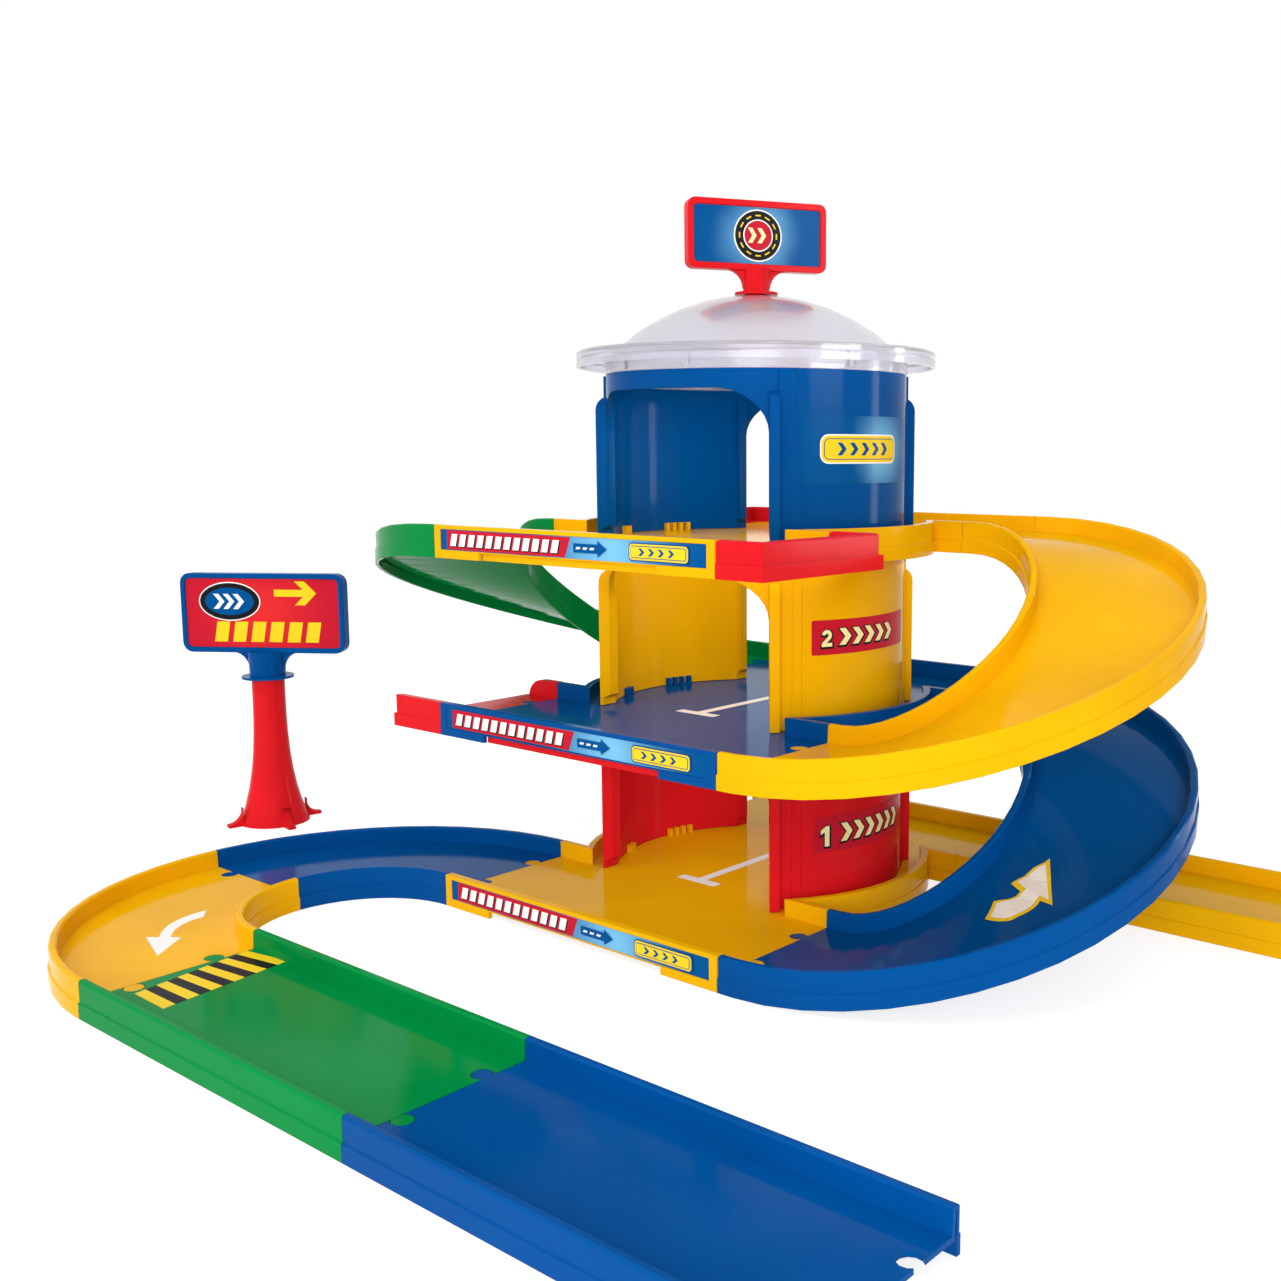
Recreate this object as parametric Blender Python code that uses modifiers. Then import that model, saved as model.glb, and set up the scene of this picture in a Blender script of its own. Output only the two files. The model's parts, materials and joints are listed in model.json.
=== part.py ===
"""Toy parking garage: three platforms on a round tower, spiral ramps, snap-together track and signs.

Lengths are in millimetres and are turned into metres where meshes are made. +Z is up, the floor is
z = 0 and the tower's axis is the origin. The sticker side of the platforms faces -Y.
"""

import math

import bmesh
import bpy
from mathutils import Matrix, Vector

MM = 0.001

# Clearance between mouldings that touch or snap together
GAP = 0.3

# Platforms and track share one cross-section
LEVEL_RISE = 100.0
PLATFORM_LENGTH = 207.0
LANE_OFFSET = 108.0
TRACK_WIDTH = 92.6
CURB_HEIGHT = 18.3
CURB_WIDTH = 4.8
CURB_CHAMFER = 0.9
CURB_DRAFT = 0.5
STEP_HEIGHT = 7.5
STEP_DEPTH = 0.8
DECK_TOP = 8.5
DECK_THICKNESS = 2.2
SKIRT_WALL = 2.2
CURB_ROOF = 1.8
CURB_INNER_WALL = 1.6

# Front curb: a flat face framed for its sticker, with a foot at each end
STICKER_DEPTH = 0.5
STICKER_SIDE_MARGIN = 5.0
STICKER_TOP_MARGIN = 2.2
STICKER_BOTTOM_MARGIN = 4.6
FOOT_LENGTH = 37.5
FOOT_RISE = 4.0

# Ribs under the tower floor
RIB_THICKNESS = 2.0
RIB_INSET = 4.0

# Jigsaw connectors
KNOB_RADIUS = 4.6
KNOB_REACH = 3.8
KNOB_NECK = 5.2
KNOB_OFFSET = 22.0
KNOB_STEPS = 9
KNOB_SINK = 0.1
DECK_SINK = 1.0

# Tower walls
TOWER_RADIUS = 87.6
WALL_THICKNESS = 2.6
WALL_TOP_RISE = 2.0
OPENING_HALF_WIDTH = 61.0
OPENING_TOP = 92.0
OPENING_CORNER = 24.0
FLANGE_OUT = 6.0
FLANGE_IN = 2.2
FLANGE_THICKNESS = 5.5
FLANGE_DROP = 2.0
FLANGE_CORNER = 8.0
PILASTER_WIDTH = 7.0
PILASTER_OUT = 1.2
PILASTER_STEP_WIDTH = 5.3
PILASTER_STEP_OUT = 0.6
PILASTER_SHORT = 0.4
WALL_TOE_CUT = 3.0
WALL_TOE_HEIGHT = 7.0
ARC_CURB_RADIUS = 105.0
BAR_DEPTH = 2.4
BAR_ARM_WIDTH = 4.0
BAR_HEIGHT = 4.6
TOWER_STEPS = 48
CLIP_COUNT = 4
CLIP_WIDTH = 2.6
CLIP_PITCH = 5.2
CLIP_HEIGHT = 5.0
CLIP_GROUP_ANGLE = -12.4
CLIP_SINGLE_ANGLE = 22.0
CLIP_SINGLE_WIDTH = 8.0
CLIP_DEPTH = 3.0

# Ramps
RAMP_LEAD = 7.7
RAMP_STEPS = 24

# Track on the floor
CURVE_INNER_RADIUS = 57.4
CURVE_STEPS = 12
END_RUN = 4.0

# End pieces
CAP_LENGTH = 28.7
CAP_LEDGE = 2.6
EXIT_FLOOR_LENGTH = 26.0
EXIT_FRONT_CURB_LENGTH = 43.0
EXIT_BACK_CURB_ROUND = 12.0

# Clear lid
LID_LIP_RADIUS = 104.0
LID_LIP_HEIGHT = 9.0
LID_LIP_WALL = 2.0
LID_FLANGE_RISE = 13.0
LID_GROOVE = 0.8
LID_COLLAR_WALL = 2.4
LID_PLUG_WALL = 2.0
LID_PLUG_DEPTH = 5.0
DOME_RADIUS = 81.0
DOME_RISE = 31.3
DOME_WALL = 1.8
DOME_STEPS = 6
LID_TAB_COUNT = 12
LID_TAB_WIDTH = 4.0
LID_TAB_OUT = 2.0

# Sign on the lid
TOP_SIGN_WIDTH = 84.0
TOP_SIGN_HEIGHT = 39.0
TOP_SIGN_THICKNESS = 8.0
TOP_SIGN_CORNER = 4.5
TOP_NECK_RADIUS = 8.0
TOP_NECK_LENGTH = 13.8
TOP_DISC_RADIUS = 12.5
TOP_WING = 18.0
AXLE_RADIUS = 6.5
TOP_SIGN_ANGLE = 58.9
RETAINER_RADIUS = 33.0
RETAINER_THICKNESS = 2.2
RETAINER_HUB = 10.0
RETAINER_HUB_HEIGHT = 5.0

# Road sign
ROAD_SIGN_PLACE = (-348.0, -114.0)
ROAD_SIGN_ANGLE = 33.8
ROAD_SIGN_WIDTH = 116.0
ROAD_SIGN_HEIGHT = 55.0
ROAD_SIGN_THICKNESS = 9.0
ROAD_SIGN_CORNER = 7.0
ROAD_NECK_RADIUS = 12.3
ROAD_NECK_LENGTH = 17.7
ROAD_DISC_RADIUS = 17.3
ROAD_WING = 24.0
POST_HEIGHT = 102.0
POST_TOP_RADIUS = 10.9
POST_FOOT_RADIUS = 23.5
POST_WALL = 2.2
POST_FIN_REACH = 32.5
POST_FIN_HEIGHT = 13.0
POST_FIN_THICKNESS = 5.0
POST_FIN_TOE = 2.2
POST_FIN_COUNT = 4
POST_STEPS = 24
POST_ROWS = 8
NECK_STEPS = 24

# Sign frames
FRAME_BORDER = 3.4
FRAME_RECESS = 1.2
SIGN_WING_THICKNESS = 3.0
DISC_THICKNESS = 1.6

# Sizes that follow from the ones above
HALF_LENGTH = PLATFORM_LENGTH / 2
LANE_OUTER = LANE_OFFSET + TRACK_WIDTH / 2
LANE_INNER = LANE_OFFSET - TRACK_WIDTH / 2
DECK_BOTTOM = DECK_TOP - DECK_THICKNESS
CURVE_CENTRE_Y = -LANE_OUTER - CURVE_INNER_RADIUS
CURVE_RADIUS = CURVE_INNER_RADIUS + TRACK_WIDTH / 2
LOWER_LANE_Y = CURVE_CENTRE_Y - CURVE_RADIUS
TRACK_START = HALF_LENGTH + GAP
WALL_FOOT = DECK_TOP + GAP
WALL_TOP = LEVEL_RISE + WALL_TOP_RISE
TOP_LEVEL = 2 * LEVEL_RISE

YELLOW = (0.93, 0.56, 0.02, 1)
BLUE = (0.01, 0.10, 0.42, 1)
RED = (0.72, 0.02, 0.02, 1)
GREEN = (0.0, 0.27, 0.06, 1)
CLEAR = (0.80, 0.80, 0.84, 1)


def clear_scene():
    for obj in list(bpy.data.objects):
        bpy.data.objects.remove(obj, do_unlink=True)


def new_collection(name):
    collection = bpy.data.collections.new(name)
    bpy.context.scene.collection.children.link(collection)
    return collection


def plastic(name, colour, roughness=0.28, transmission=0.0):
    material = bpy.data.materials.new(name)
    material.use_nodes = True
    shader = material.node_tree.nodes["Principled BSDF"]
    shader.inputs["Base Color"].default_value = colour
    shader.inputs["Roughness"].default_value = roughness
    shader.inputs["Metallic"].default_value = 0.0
    shader.inputs["Transmission Weight"].default_value = transmission
    return material


def link(obj, collection):
    collection.objects.link(obj)
    return obj


def make_cutter(obj):
    """Moves a helper among the cutters, where no render shows it."""
    for owner in list(obj.users_collection):
        owner.objects.unlink(obj)
    CUTTERS.objects.link(obj)
    obj.hide_render = True
    obj.display_type = "WIRE"
    return obj


def finish(obj, name, material):
    """Names a finished piece, gives it its plastic and smooth shading, and puts it in the garage."""
    obj.name = name
    obj.data.name = name
    obj.data.materials.clear()
    obj.data.materials.append(material)
    obj.data.shade_smooth()
    obj.data.set_sharp_from_angle(angle=math.radians(32))
    for owner in list(obj.users_collection):
        owner.objects.unlink(obj)
    GARAGE.objects.link(obj)
    return obj


def bake(obj):
    """Turns a curve or an object with modifiers into a plain welded mesh object."""
    bpy.context.view_layer.update()
    evaluated = obj.evaluated_get(bpy.context.evaluated_depsgraph_get())
    mesh = bpy.data.meshes.new_from_object(evaluated)
    mesh.transform(obj.matrix_world)
    shape = bmesh.new()
    shape.from_mesh(mesh)
    bmesh.ops.remove_doubles(shape, verts=shape.verts, dist=0.002 * MM)
    bmesh.ops.recalc_face_normals(shape, faces=shape.faces)
    shape.to_mesh(mesh)
    shape.free()
    baked = bpy.data.objects.new(obj.name, mesh)
    link(baked, WORKSHOP)
    bpy.data.objects.remove(obj, do_unlink=True)
    return baked


def combine(obj, tools, operation):
    """Joins or cuts an object with others, one Boolean after another, and bakes the result."""
    for tool in tools:
        modifier = obj.modifiers.new(operation.title(), "BOOLEAN")
        modifier.operation = operation
        modifier.solver = "EXACT"
        modifier.object = make_cutter(tool)
    return bake(obj)


def join(obj, *tools):
    return combine(obj, tools, "UNION")


def cut(obj, *tools):
    return combine(obj, tools, "DIFFERENCE")


def arc(centre_x, centre_y, radius, start, end, steps):
    """Points along an arc, ends included; angles in degrees."""
    points = []
    for index in range(steps + 1):
        angle = math.radians(start + (end - start) * index / steps)
        points.append((centre_x + radius * math.cos(angle), centre_y + radius * math.sin(angle)))
    return points


def slab(points, bottom, top, frame=None):
    """A flat outline extruded between two heights. frame turns and moves the finished slab."""
    curve = bpy.data.curves.new("slab", "CURVE")
    curve.dimensions = "2D"
    curve.fill_mode = "BOTH"
    curve.extrude = (top - bottom) / 2 * MM
    spline = curve.splines.new("POLY")
    spline.points.add(len(points) - 1)
    for vertex, (x, y) in zip(spline.points, points):
        vertex.co = (x * MM, y * MM, 0, 1)
    spline.use_cyclic_u = True
    obj = link(bpy.data.objects.new("slab", curve), WORKSHOP)
    lift = Matrix.Translation((0, 0, (top + bottom) / 2 * MM))
    obj.matrix_world = (frame or Matrix.Identity(4)) @ lift
    return bake(obj)


def upright(azimuth=0.0, x=0.0, y=0.0, z=0.0):
    """Frame whose outline plane stands upright: outline X runs along the azimuth, outline Y is up."""
    turn = Matrix.Rotation(math.radians(azimuth), 4, "Z") @ Matrix.Rotation(math.radians(90), 4, "X")
    return Matrix.Translation((x * MM, y * MM, z * MM)) @ turn


def turned(profile, steps, closed=True):
    """A profile of (radius, height) points, run down its outer side, turned about the Z axis."""
    mesh = bpy.data.meshes.new("turned")
    points = [(radius * MM, 0, height * MM) for radius, height in profile]
    edges = [(index, index + 1) for index in range(len(points) - 1)]
    if closed:
        edges.append((len(points) - 1, 0))
    mesh.from_pydata(points, edges, [])
    obj = link(bpy.data.objects.new("turned", mesh), WORKSHOP)
    screw = obj.modifiers.new("Turn", "SCREW")
    screw.steps = steps
    screw.render_steps = steps
    screw.use_merge_vertices = True
    screw.merge_threshold = 0.00001
    return bake(obj)


def block(size, centre, frame=None):
    """A box primitive of this size about this centre."""
    mesh = bpy.data.meshes.new("block")
    shape = bmesh.new()
    bmesh.ops.create_cube(shape, size=MM)
    bmesh.ops.scale(shape, vec=Vector(size), verts=shape.verts)
    bmesh.ops.translate(shape, vec=Vector(centre) * MM, verts=shape.verts)
    shape.to_mesh(mesh)
    shape.free()
    obj = link(bpy.data.objects.new("block", mesh), WORKSHOP)
    obj.matrix_world = frame or Matrix.Identity(4)
    return obj


def bevel_edges(obj, wanted, width, segments=1):
    """Bevels the edges of a baked mesh that the test picks, by a width in millimetres."""
    shape = bmesh.new()
    shape.from_mesh(obj.data)
    edges = [edge for edge in shape.edges if wanted(edge)]
    bmesh.ops.bevel(
        shape,
        geom=edges,
        offset=width * MM,
        segments=segments,
        profile=0.5,
        affect="EDGES",
        clamp_overlap=True,
    )
    shape.to_mesh(obj.data)
    shape.free()
    return obj


def on_height(edge, height):
    """True for a sharp edge that lies at this height."""
    level = all(abs(vertex.co.z - height * MM) < 0.01 * MM for vertex in edge.verts)
    return level and len(edge.link_faces) == 2 and edge.calc_face_angle(0) > 0.7


def place(obj, x, y, z, turn=0.0):
    """Moves a baked piece's origin to its own place, keeping its shape where it is."""
    frame = Matrix.Translation((x * MM, y * MM, z * MM)) @ Matrix.Rotation(math.radians(turn), 4, "Z")
    obj.data.transform(frame.inverted() @ obj.matrix_world)
    obj.matrix_world = frame
    return obj


def track_profile():
    """Cross-section of all track, an upturned tray with hollow curbs, about the lane's centre line."""
    half = TRACK_WIDTH / 2
    left = [
        (0, 0),
        (0, STEP_HEIGHT),
        (STEP_DEPTH, STEP_HEIGHT + 0.5),
        (STEP_DEPTH, CURB_HEIGHT - CURB_CHAMFER),
        (STEP_DEPTH + CURB_CHAMFER, CURB_HEIGHT),
        (CURB_WIDTH - CURB_CHAMFER, CURB_HEIGHT),
        (CURB_WIDTH, CURB_HEIGHT - CURB_CHAMFER),
        (CURB_WIDTH + CURB_DRAFT, DECK_TOP),
    ]
    under = [
        (CURB_WIDTH + CURB_DRAFT - CURB_INNER_WALL, DECK_BOTTOM),
        (CURB_WIDTH - CURB_INNER_WALL, CURB_HEIGHT - CURB_ROOF),
        (SKIRT_WALL, CURB_HEIGHT - CURB_ROOF),
        (SKIRT_WALL, 0),
    ]
    top = [(inset - half, height) for inset, height in left]
    below = [(half - inset, height) for inset, height in reversed(under)]
    right = [(-side, height) for side, height in reversed(top)]
    left_below = [(-side, height) for side, height in reversed(below)]
    return top + right + below + left_below


def straight_ends(path):
    """A bend's points with a short straight run at each end, so that its end faces are square."""
    first, last = Vector(path[0]), Vector(path[-1])
    start = (Vector(path[1]) - first).normalized()
    finish_at = (Vector(path[-2]) - last).normalized()
    half_step = math.pi / 4 / CURVE_STEPS
    start.rotate(Matrix.Rotation(-half_step, 3, "Z"))
    finish_at.rotate(Matrix.Rotation(half_step, 3, "Z"))
    return [first, first + start * END_RUN, *path[1:-1], last + finish_at * END_RUN, last]


def sweep(path):
    """The track's cross-section carried along a path of (x, y, z) points, always upright."""
    profile_curve = bpy.data.curves.new("profile", "CURVE")
    profile_curve.dimensions = "2D"
    profile_curve.fill_mode = "NONE"
    spline = profile_curve.splines.new("POLY")
    profile = track_profile()
    spline.points.add(len(profile) - 1)
    for vertex, (side, height) in zip(spline.points, profile):
        vertex.co = (side * MM, height * MM, 0, 1)
    spline.use_cyclic_u = True
    profile_object = make_cutter(link(bpy.data.objects.new("profile", profile_curve), WORKSHOP))
    curve = bpy.data.curves.new("path", "CURVE")
    curve.dimensions = "3D"
    curve.twist_mode = "Z_UP"
    curve.bevel_mode = "OBJECT"
    curve.bevel_object = profile_object
    curve.use_fill_caps = True
    line = curve.splines.new("POLY")
    line.points.add(len(path) - 1)
    for vertex, (x, y, z) in zip(line.points, path):
        vertex.co = (x * MM, y * MM, z * MM, 1)
    obj = bake(link(bpy.data.objects.new("path", curve), WORKSHOP))
    bpy.data.objects.remove(profile_object, do_unlink=True)
    return obj


def knob_outline(clearance):
    """Outline of a jigsaw knob that reaches out along +X from the end of a lane."""
    neck = KNOB_NECK / 2 + clearance
    radius = KNOB_RADIUS + clearance
    angle = math.degrees(math.asin(neck / radius))
    round_part = arc(KNOB_REACH, 0, radius, -180 + angle, 180 - angle, KNOB_STEPS)
    return [(-1.0, -neck), *round_part, (-1.0, neck)]


def end_frame(x, y, level, outward, side):
    """Frame of a knob on a lane's end; side is +1 on the lane's right, seen looking outward."""
    turn = Matrix.Rotation(math.radians(outward), 4, "Z")
    start = Matrix.Translation((x * MM, y * MM, level * MM))
    return start @ turn @ Matrix.Translation((0, -side * KNOB_OFFSET * MM, 0))


def connect(obj, ends):
    """Gives each lane end a knob on its right and a socket on its left. ends: (x, y, level, outward)."""
    sockets = []
    knobs = []
    for x, y, level, outward in ends:
        socket_frame = end_frame(x, y, level, outward, -1)
        inward = socket_frame @ Matrix.Rotation(math.pi, 4, "Z") @ Matrix.Translation((-GAP * MM, 0, 0))
        sockets.append(slab(knob_outline(GAP), DECK_BOTTOM - 0.1, DECK_TOP + 1, inward))
        knob_frame = end_frame(x, y, level, outward, 1)
        knobs.append(slab(knob_outline(0), DECK_BOTTOM + KNOB_SINK, DECK_TOP - KNOB_SINK, knob_frame))
    obj = cut(obj, *sockets)
    return join(obj, *knobs)


def disc(radius, bottom, top, steps=TOWER_STEPS):
    """A cylinder primitive about the tower's axis, turned half a step so that no corner is beside a lane's edge."""
    mesh = bpy.data.meshes.new("disc")
    shape = bmesh.new()
    bmesh.ops.create_cone(
        shape,
        cap_ends=True,
        segments=steps,
        radius1=radius * MM,
        radius2=radius * MM,
        depth=(top - bottom) * MM,
    )
    bmesh.ops.rotate(shape, matrix=Matrix.Rotation(math.pi / steps, 3, "Z"), verts=shape.verts)
    bmesh.ops.translate(shape, vec=(0, 0, (top + bottom) / 2 * MM), verts=shape.verts)
    shape.to_mesh(mesh)
    shape.free()
    return link(bpy.data.objects.new("disc", mesh), WORKSHOP)


def storey_plan(bottom, top, inset, front_inset, end):
    """Plan of a storey between two heights: two lanes and the round tower floor, drawn inset."""
    lanes = []
    for side, outer_inset in ((-1, front_inset), (1, inset)):
        width = TRACK_WIDTH - inset - outer_inset
        middle = LANE_OFFSET + (inset - outer_inset) / 2
        size = (2 * end, width, top - bottom)
        lanes.append(block(size, (0, side * middle, (top + bottom) / 2)))
    return join(disc(ARC_CURB_RADIUS - inset, bottom, top), *lanes)


def ring(outer, inner, bottom, top, steps):
    return turned([(outer, top), (outer, bottom), (inner, bottom), (inner, top)], steps)


def deck_clips():
    """Stops at the inner foot of each wall: a row of little posts and one wide post."""
    posts = [(CLIP_SINGLE_ANGLE, 0, CLIP_SINGLE_WIDTH)]
    for index in range(CLIP_COUNT):
        posts.append((CLIP_GROUP_ANGLE, (index - (CLIP_COUNT - 1) / 2) * CLIP_PITCH, CLIP_WIDTH))
    middle = DECK_TOP + (CLIP_HEIGHT - DECK_SINK) / 2
    clips = []
    for wall in (0, 180):
        for angle, along, width in posts:
            reach = abs(along) + width / 2
            face = math.sqrt((TOWER_RADIUS - WALL_THICKNESS - GAP) ** 2 - reach**2)
            frame = Matrix.Rotation(math.radians(wall + angle), 4, "Z")
            size = (CLIP_DEPTH, width, CLIP_HEIGHT + DECK_SINK)
            clips.append(block(size, (face - CLIP_DEPTH / 2, along, middle), frame))
    return clips


def floor_ribs():
    """Cross under the tower floor, which reaches down to what the platform stands on."""
    length = 2 * (TOWER_RADIUS - WALL_THICKNESS - RIB_INSET)
    middle = DECK_BOTTOM / 2 + 0.5
    height = DECK_BOTTOM + 1
    across = block((length, RIB_THICKNESS, height), (0, 0, middle))
    along = block((RIB_THICKNESS, length, height), (0, 0, middle))
    return [across, along]


def platform(number, material):
    """One storey: both lanes, the tower floor, stepped curbs and a hollow underside."""
    level = (number - 1) * LEVEL_RISE
    body = storey_plan(0, STEP_HEIGHT, 0, 0, HALF_LENGTH)
    body = join(body, storey_plan(STEP_HEIGHT - 0.4, CURB_HEIGHT, STEP_DEPTH, 0, HALF_LENGTH))
    hollow = storey_plan(-1, DECK_BOTTOM, SKIRT_WALL, SKIRT_WALL, HALF_LENGTH - SKIRT_WALL)
    floor = storey_plan(DECK_TOP, CURB_HEIGHT + 1, CURB_WIDTH, CURB_WIDTH, HALF_LENGTH + 5)
    recess_length = PLATFORM_LENGTH - 2 * FOOT_LENGTH
    foot_recess = block((recess_length, 2 * SKIRT_WALL + 2, 2 * FOOT_RISE), (0, -LANE_OUTER, 0))
    face_height = CURB_HEIGHT - STICKER_TOP_MARGIN - STICKER_BOTTOM_MARGIN
    face_middle = STICKER_BOTTOM_MARGIN + face_height / 2
    face_length = PLATFORM_LENGTH - 2 * STICKER_SIDE_MARGIN
    face = block((face_length, 2 * STICKER_DEPTH, face_height), (0, -LANE_OUTER, face_middle))
    body = cut(body, hollow, floor, foot_recess, face)
    body = bevel_edges(body, lambda edge: on_height(edge, CURB_HEIGHT), CURB_CHAMFER)
    if number > 1:
        seat = ring(TOWER_RADIUS + 2, TOWER_RADIUS - WALL_THICKNESS - 2, WALL_TOP_RISE + GAP, DECK_TOP - 1, 48)
        body = join(body, seat)
    body = join(body, *floor_ribs(), *deck_clips())
    ends = []
    for sign in (-1, 1):
        for outward, x in ((0, HALF_LENGTH), (180, -HALF_LENGTH)):
            ends.append((x, sign * LANE_OFFSET, 0, outward))
    body = connect(body, ends)
    return finish(place(lift(body, level), 0, 0, level), f"platform_{number}", material)


def lift(obj, height):
    obj.matrix_world = Matrix.Translation((0, 0, height * MM)) @ obj.matrix_world
    return obj


def arch_outline():
    """Drive-through opening of a tower wall, square below and rounded at its top corners."""
    half = OPENING_HALF_WIDTH
    top_centre = OPENING_TOP - OPENING_CORNER
    right = arc(half - OPENING_CORNER, top_centre, OPENING_CORNER, 0, 90, 8)
    left = arc(OPENING_CORNER - half, top_centre, OPENING_CORNER, 90, 180, 8)
    return [(-half, -1), (half, -1), *right, *left]


def flange_outline():
    """Side view of the rib that stands out along an opening's edge: radius against height."""
    outer = TOWER_RADIUS + FLANGE_OUT
    inner = TOWER_RADIUS - WALL_THICKNESS - FLANGE_IN
    top = OPENING_TOP - FLANGE_DROP
    shoulder = arc(outer - FLANGE_CORNER, top - FLANGE_CORNER, FLANGE_CORNER, 0, 90, 6)
    return [(inner, 0), (outer, 0), *shoulder, (inner, top)]


def rib_frame(azimuth, tangential):
    """Upright frame on a radius of the tower, shifted sideways along the wall."""
    turn = math.radians(azimuth)
    return upright(azimuth, -tangential * math.sin(turn), tangential * math.cos(turn))


def edge_ribs():
    """Flange and two-step pilaster beside each of the four opening edges."""
    edge_azimuth = math.degrees(math.acos(OPENING_HALF_WIDTH / TOWER_RADIUS))
    ribs = []
    for azimuth, side in (
        (-edge_azimuth, 1),
        (edge_azimuth, -1),
        (180 - edge_azimuth, 1),
        (180 + edge_azimuth, -1),
    ):
        flange_middle = side * FLANGE_THICKNESS / 2
        half = FLANGE_THICKNESS / 2
        ribs.append(slab(flange_outline(), -half, half, rib_frame(azimuth, flange_middle)))
        ribs.append(pilaster(azimuth, side))
    return ribs


def pilaster(azimuth, side):
    """Two shallow steps beside a flange, drawn in plan across the drum's face and run up over its ring."""
    flange_edge = FLANGE_THICKNESS - 0.2
    first = FLANGE_THICKNESS + PILASTER_WIDTH
    second = first + PILASTER_STEP_WIDTH
    outline = [
        (depth_at(flange_edge, -WALL_THICKNESS / 2), flange_edge),
        (TOWER_RADIUS + PILASTER_OUT, flange_edge),
        (depth_at(first, PILASTER_OUT), first),
        (depth_at(first, PILASTER_STEP_OUT), first),
        (depth_at(second, PILASTER_STEP_OUT), second),
        (depth_at(second, -WALL_THICKNESS / 2), second),
    ]
    frame = Matrix.Rotation(math.radians(azimuth), 4, "Z")
    points = [(x, side * y) for x, y in outline]
    return slab(points, 0, WALL_TOP - PILASTER_SHORT, frame)


def depth_at(along, outward):
    """Radius-wise position of a point this far along the wall from an opening's edge."""
    return math.sqrt((TOWER_RADIUS + outward) ** 2 - along**2)


def front_bar():
    """Bar that shows below the next storey's front curb, and the two arms that carry it."""
    half = HALF_LENGTH - FOOT_LENGTH - GAP
    front = LANE_OUTER - SKIRT_WALL - GAP
    bar = block((2 * half, BAR_DEPTH, BAR_HEIGHT), (0, BAR_DEPTH / 2 - front, LEVEL_RISE + BAR_HEIGHT / 2))
    arm_middle = half - BAR_ARM_WIDTH / 2
    arm_end = math.sqrt(TOWER_RADIUS**2 - half**2) - 0.5
    arm_length = front - BAR_DEPTH / 2 - arm_end
    size = (BAR_ARM_WIDTH, arm_length, WALL_TOP_RISE - KNOB_SINK)
    arms = []
    for side in (-1, 1):
        centre = (side * arm_middle, -arm_end - arm_length / 2, LEVEL_RISE + size[2] / 2)
        arms.append(block(size, centre))
    return join(bar, *arms)


def tower_wall(number, material):
    """One storey's wall: a turned drum opened to both lanes, ribbed along the openings."""
    level = (number - 1) * LEVEL_RISE
    inner = TOWER_RADIUS - WALL_THICKNESS
    drum = ring(TOWER_RADIUS, inner, 1, WALL_TOP, TOWER_STEPS)
    drum = join(drum, *edge_ribs())
    arch = slab(arch_outline(), -LANE_OUTER, LANE_OUTER, upright())
    toe_half = OPENING_HALF_WIDTH + WALL_TOE_CUT
    toe_top = WALL_FOOT + WALL_TOE_HEIGHT
    toe = [
        (-toe_half, -1),
        (toe_half, -1),
        (toe_half, toe_top - WALL_TOE_CUT),
        (OPENING_HALF_WIDTH - 1, toe_top),
        (1 - OPENING_HALF_WIDTH, toe_top),
        (-toe_half, toe_top - WALL_TOE_CUT),
    ]
    toes = slab(toe, -LANE_OUTER, LANE_OUTER, upright())
    drum = cut(drum, disc(LANE_OUTER, -1, WALL_FOOT, 16), arch, toes)
    if number < 3:
        drum = join(drum, front_bar())
    return finish(place(lift(drum, level), 0, 0, level), f"tower_wall_{number}", material)


def smooth_rise(share):
    """Share of the climb done at a share of the way, level at both ends."""
    return share * share * (3 - 2 * share)


def ramp_path(side, low):
    """Centre line of a ramp that turns round the tower's side and climbs one storey.

    side +1 turns round the right and climbs front to back, -1 round the left."""
    turn_centre = TRACK_START + RAMP_LEAD
    bottom = low if side > 0 else low + LEVEL_RISE
    top = low + LEVEL_RISE if side > 0 else low
    path = [(side * TRACK_START, -LANE_OFFSET, bottom)]
    for index in range(RAMP_STEPS + 1):
        share = index / RAMP_STEPS
        angle = math.pi * (share - 0.5)
        x = turn_centre + LANE_OFFSET * math.cos(angle)
        path.append((side * x, LANE_OFFSET * math.sin(angle), bottom + (top - bottom) * smooth_rise(share)))
    path.append((side * TRACK_START, LANE_OFFSET, top))
    return path


def ramp(name, side, low, material):
    """Half-turn ramp between the front and back lanes of two storeys."""
    body = sweep(ramp_path(side, low))
    x = side * TRACK_START
    inward = 180 if side > 0 else 0
    front_level = low if side > 0 else low + LEVEL_RISE
    back_level = low + LEVEL_RISE if side > 0 else low
    ends = [(x, -LANE_OFFSET, front_level, inward), (x, LANE_OFFSET, back_level, inward)]
    body = connect(body, ends)
    return finish(place(body, side * (TRACK_START + RAMP_LEAD), 0, low), name, material)


def curve_track(name, start, material):
    """Quarter turn on the floor, from this angle about the centre of the left-hand bend."""
    centre_x = -TRACK_START
    trim = math.degrees(GAP / 2 / CURVE_RADIUS)
    first = start + (trim if start > 90 else 0)
    last = start + 90 - (trim if start < 180 else 0)
    ring_points = arc(centre_x, CURVE_CENTRE_Y, CURVE_RADIUS, first, last, CURVE_STEPS)
    body = sweep(straight_ends([(x, y, 0) for x, y in ring_points]))
    ends = [
        (*ring_points[0], 0, first - 90),
        (*ring_points[-1], 0, last + 90),
    ]
    body = connect(body, ends)
    return finish(place(body, centre_x, CURVE_CENTRE_Y, 0), name, material)


def straight_track(name, left, lane_y, material):
    """Straight lane as long as a platform."""
    right = left + PLATFORM_LENGTH
    body = sweep([(left, lane_y, 0), (right, lane_y, 0)])
    body = connect(body, [(left, lane_y, 0, 180), (right, lane_y, 0, 0)])
    return finish(place(body, left, lane_y, 0), name, material)


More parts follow.
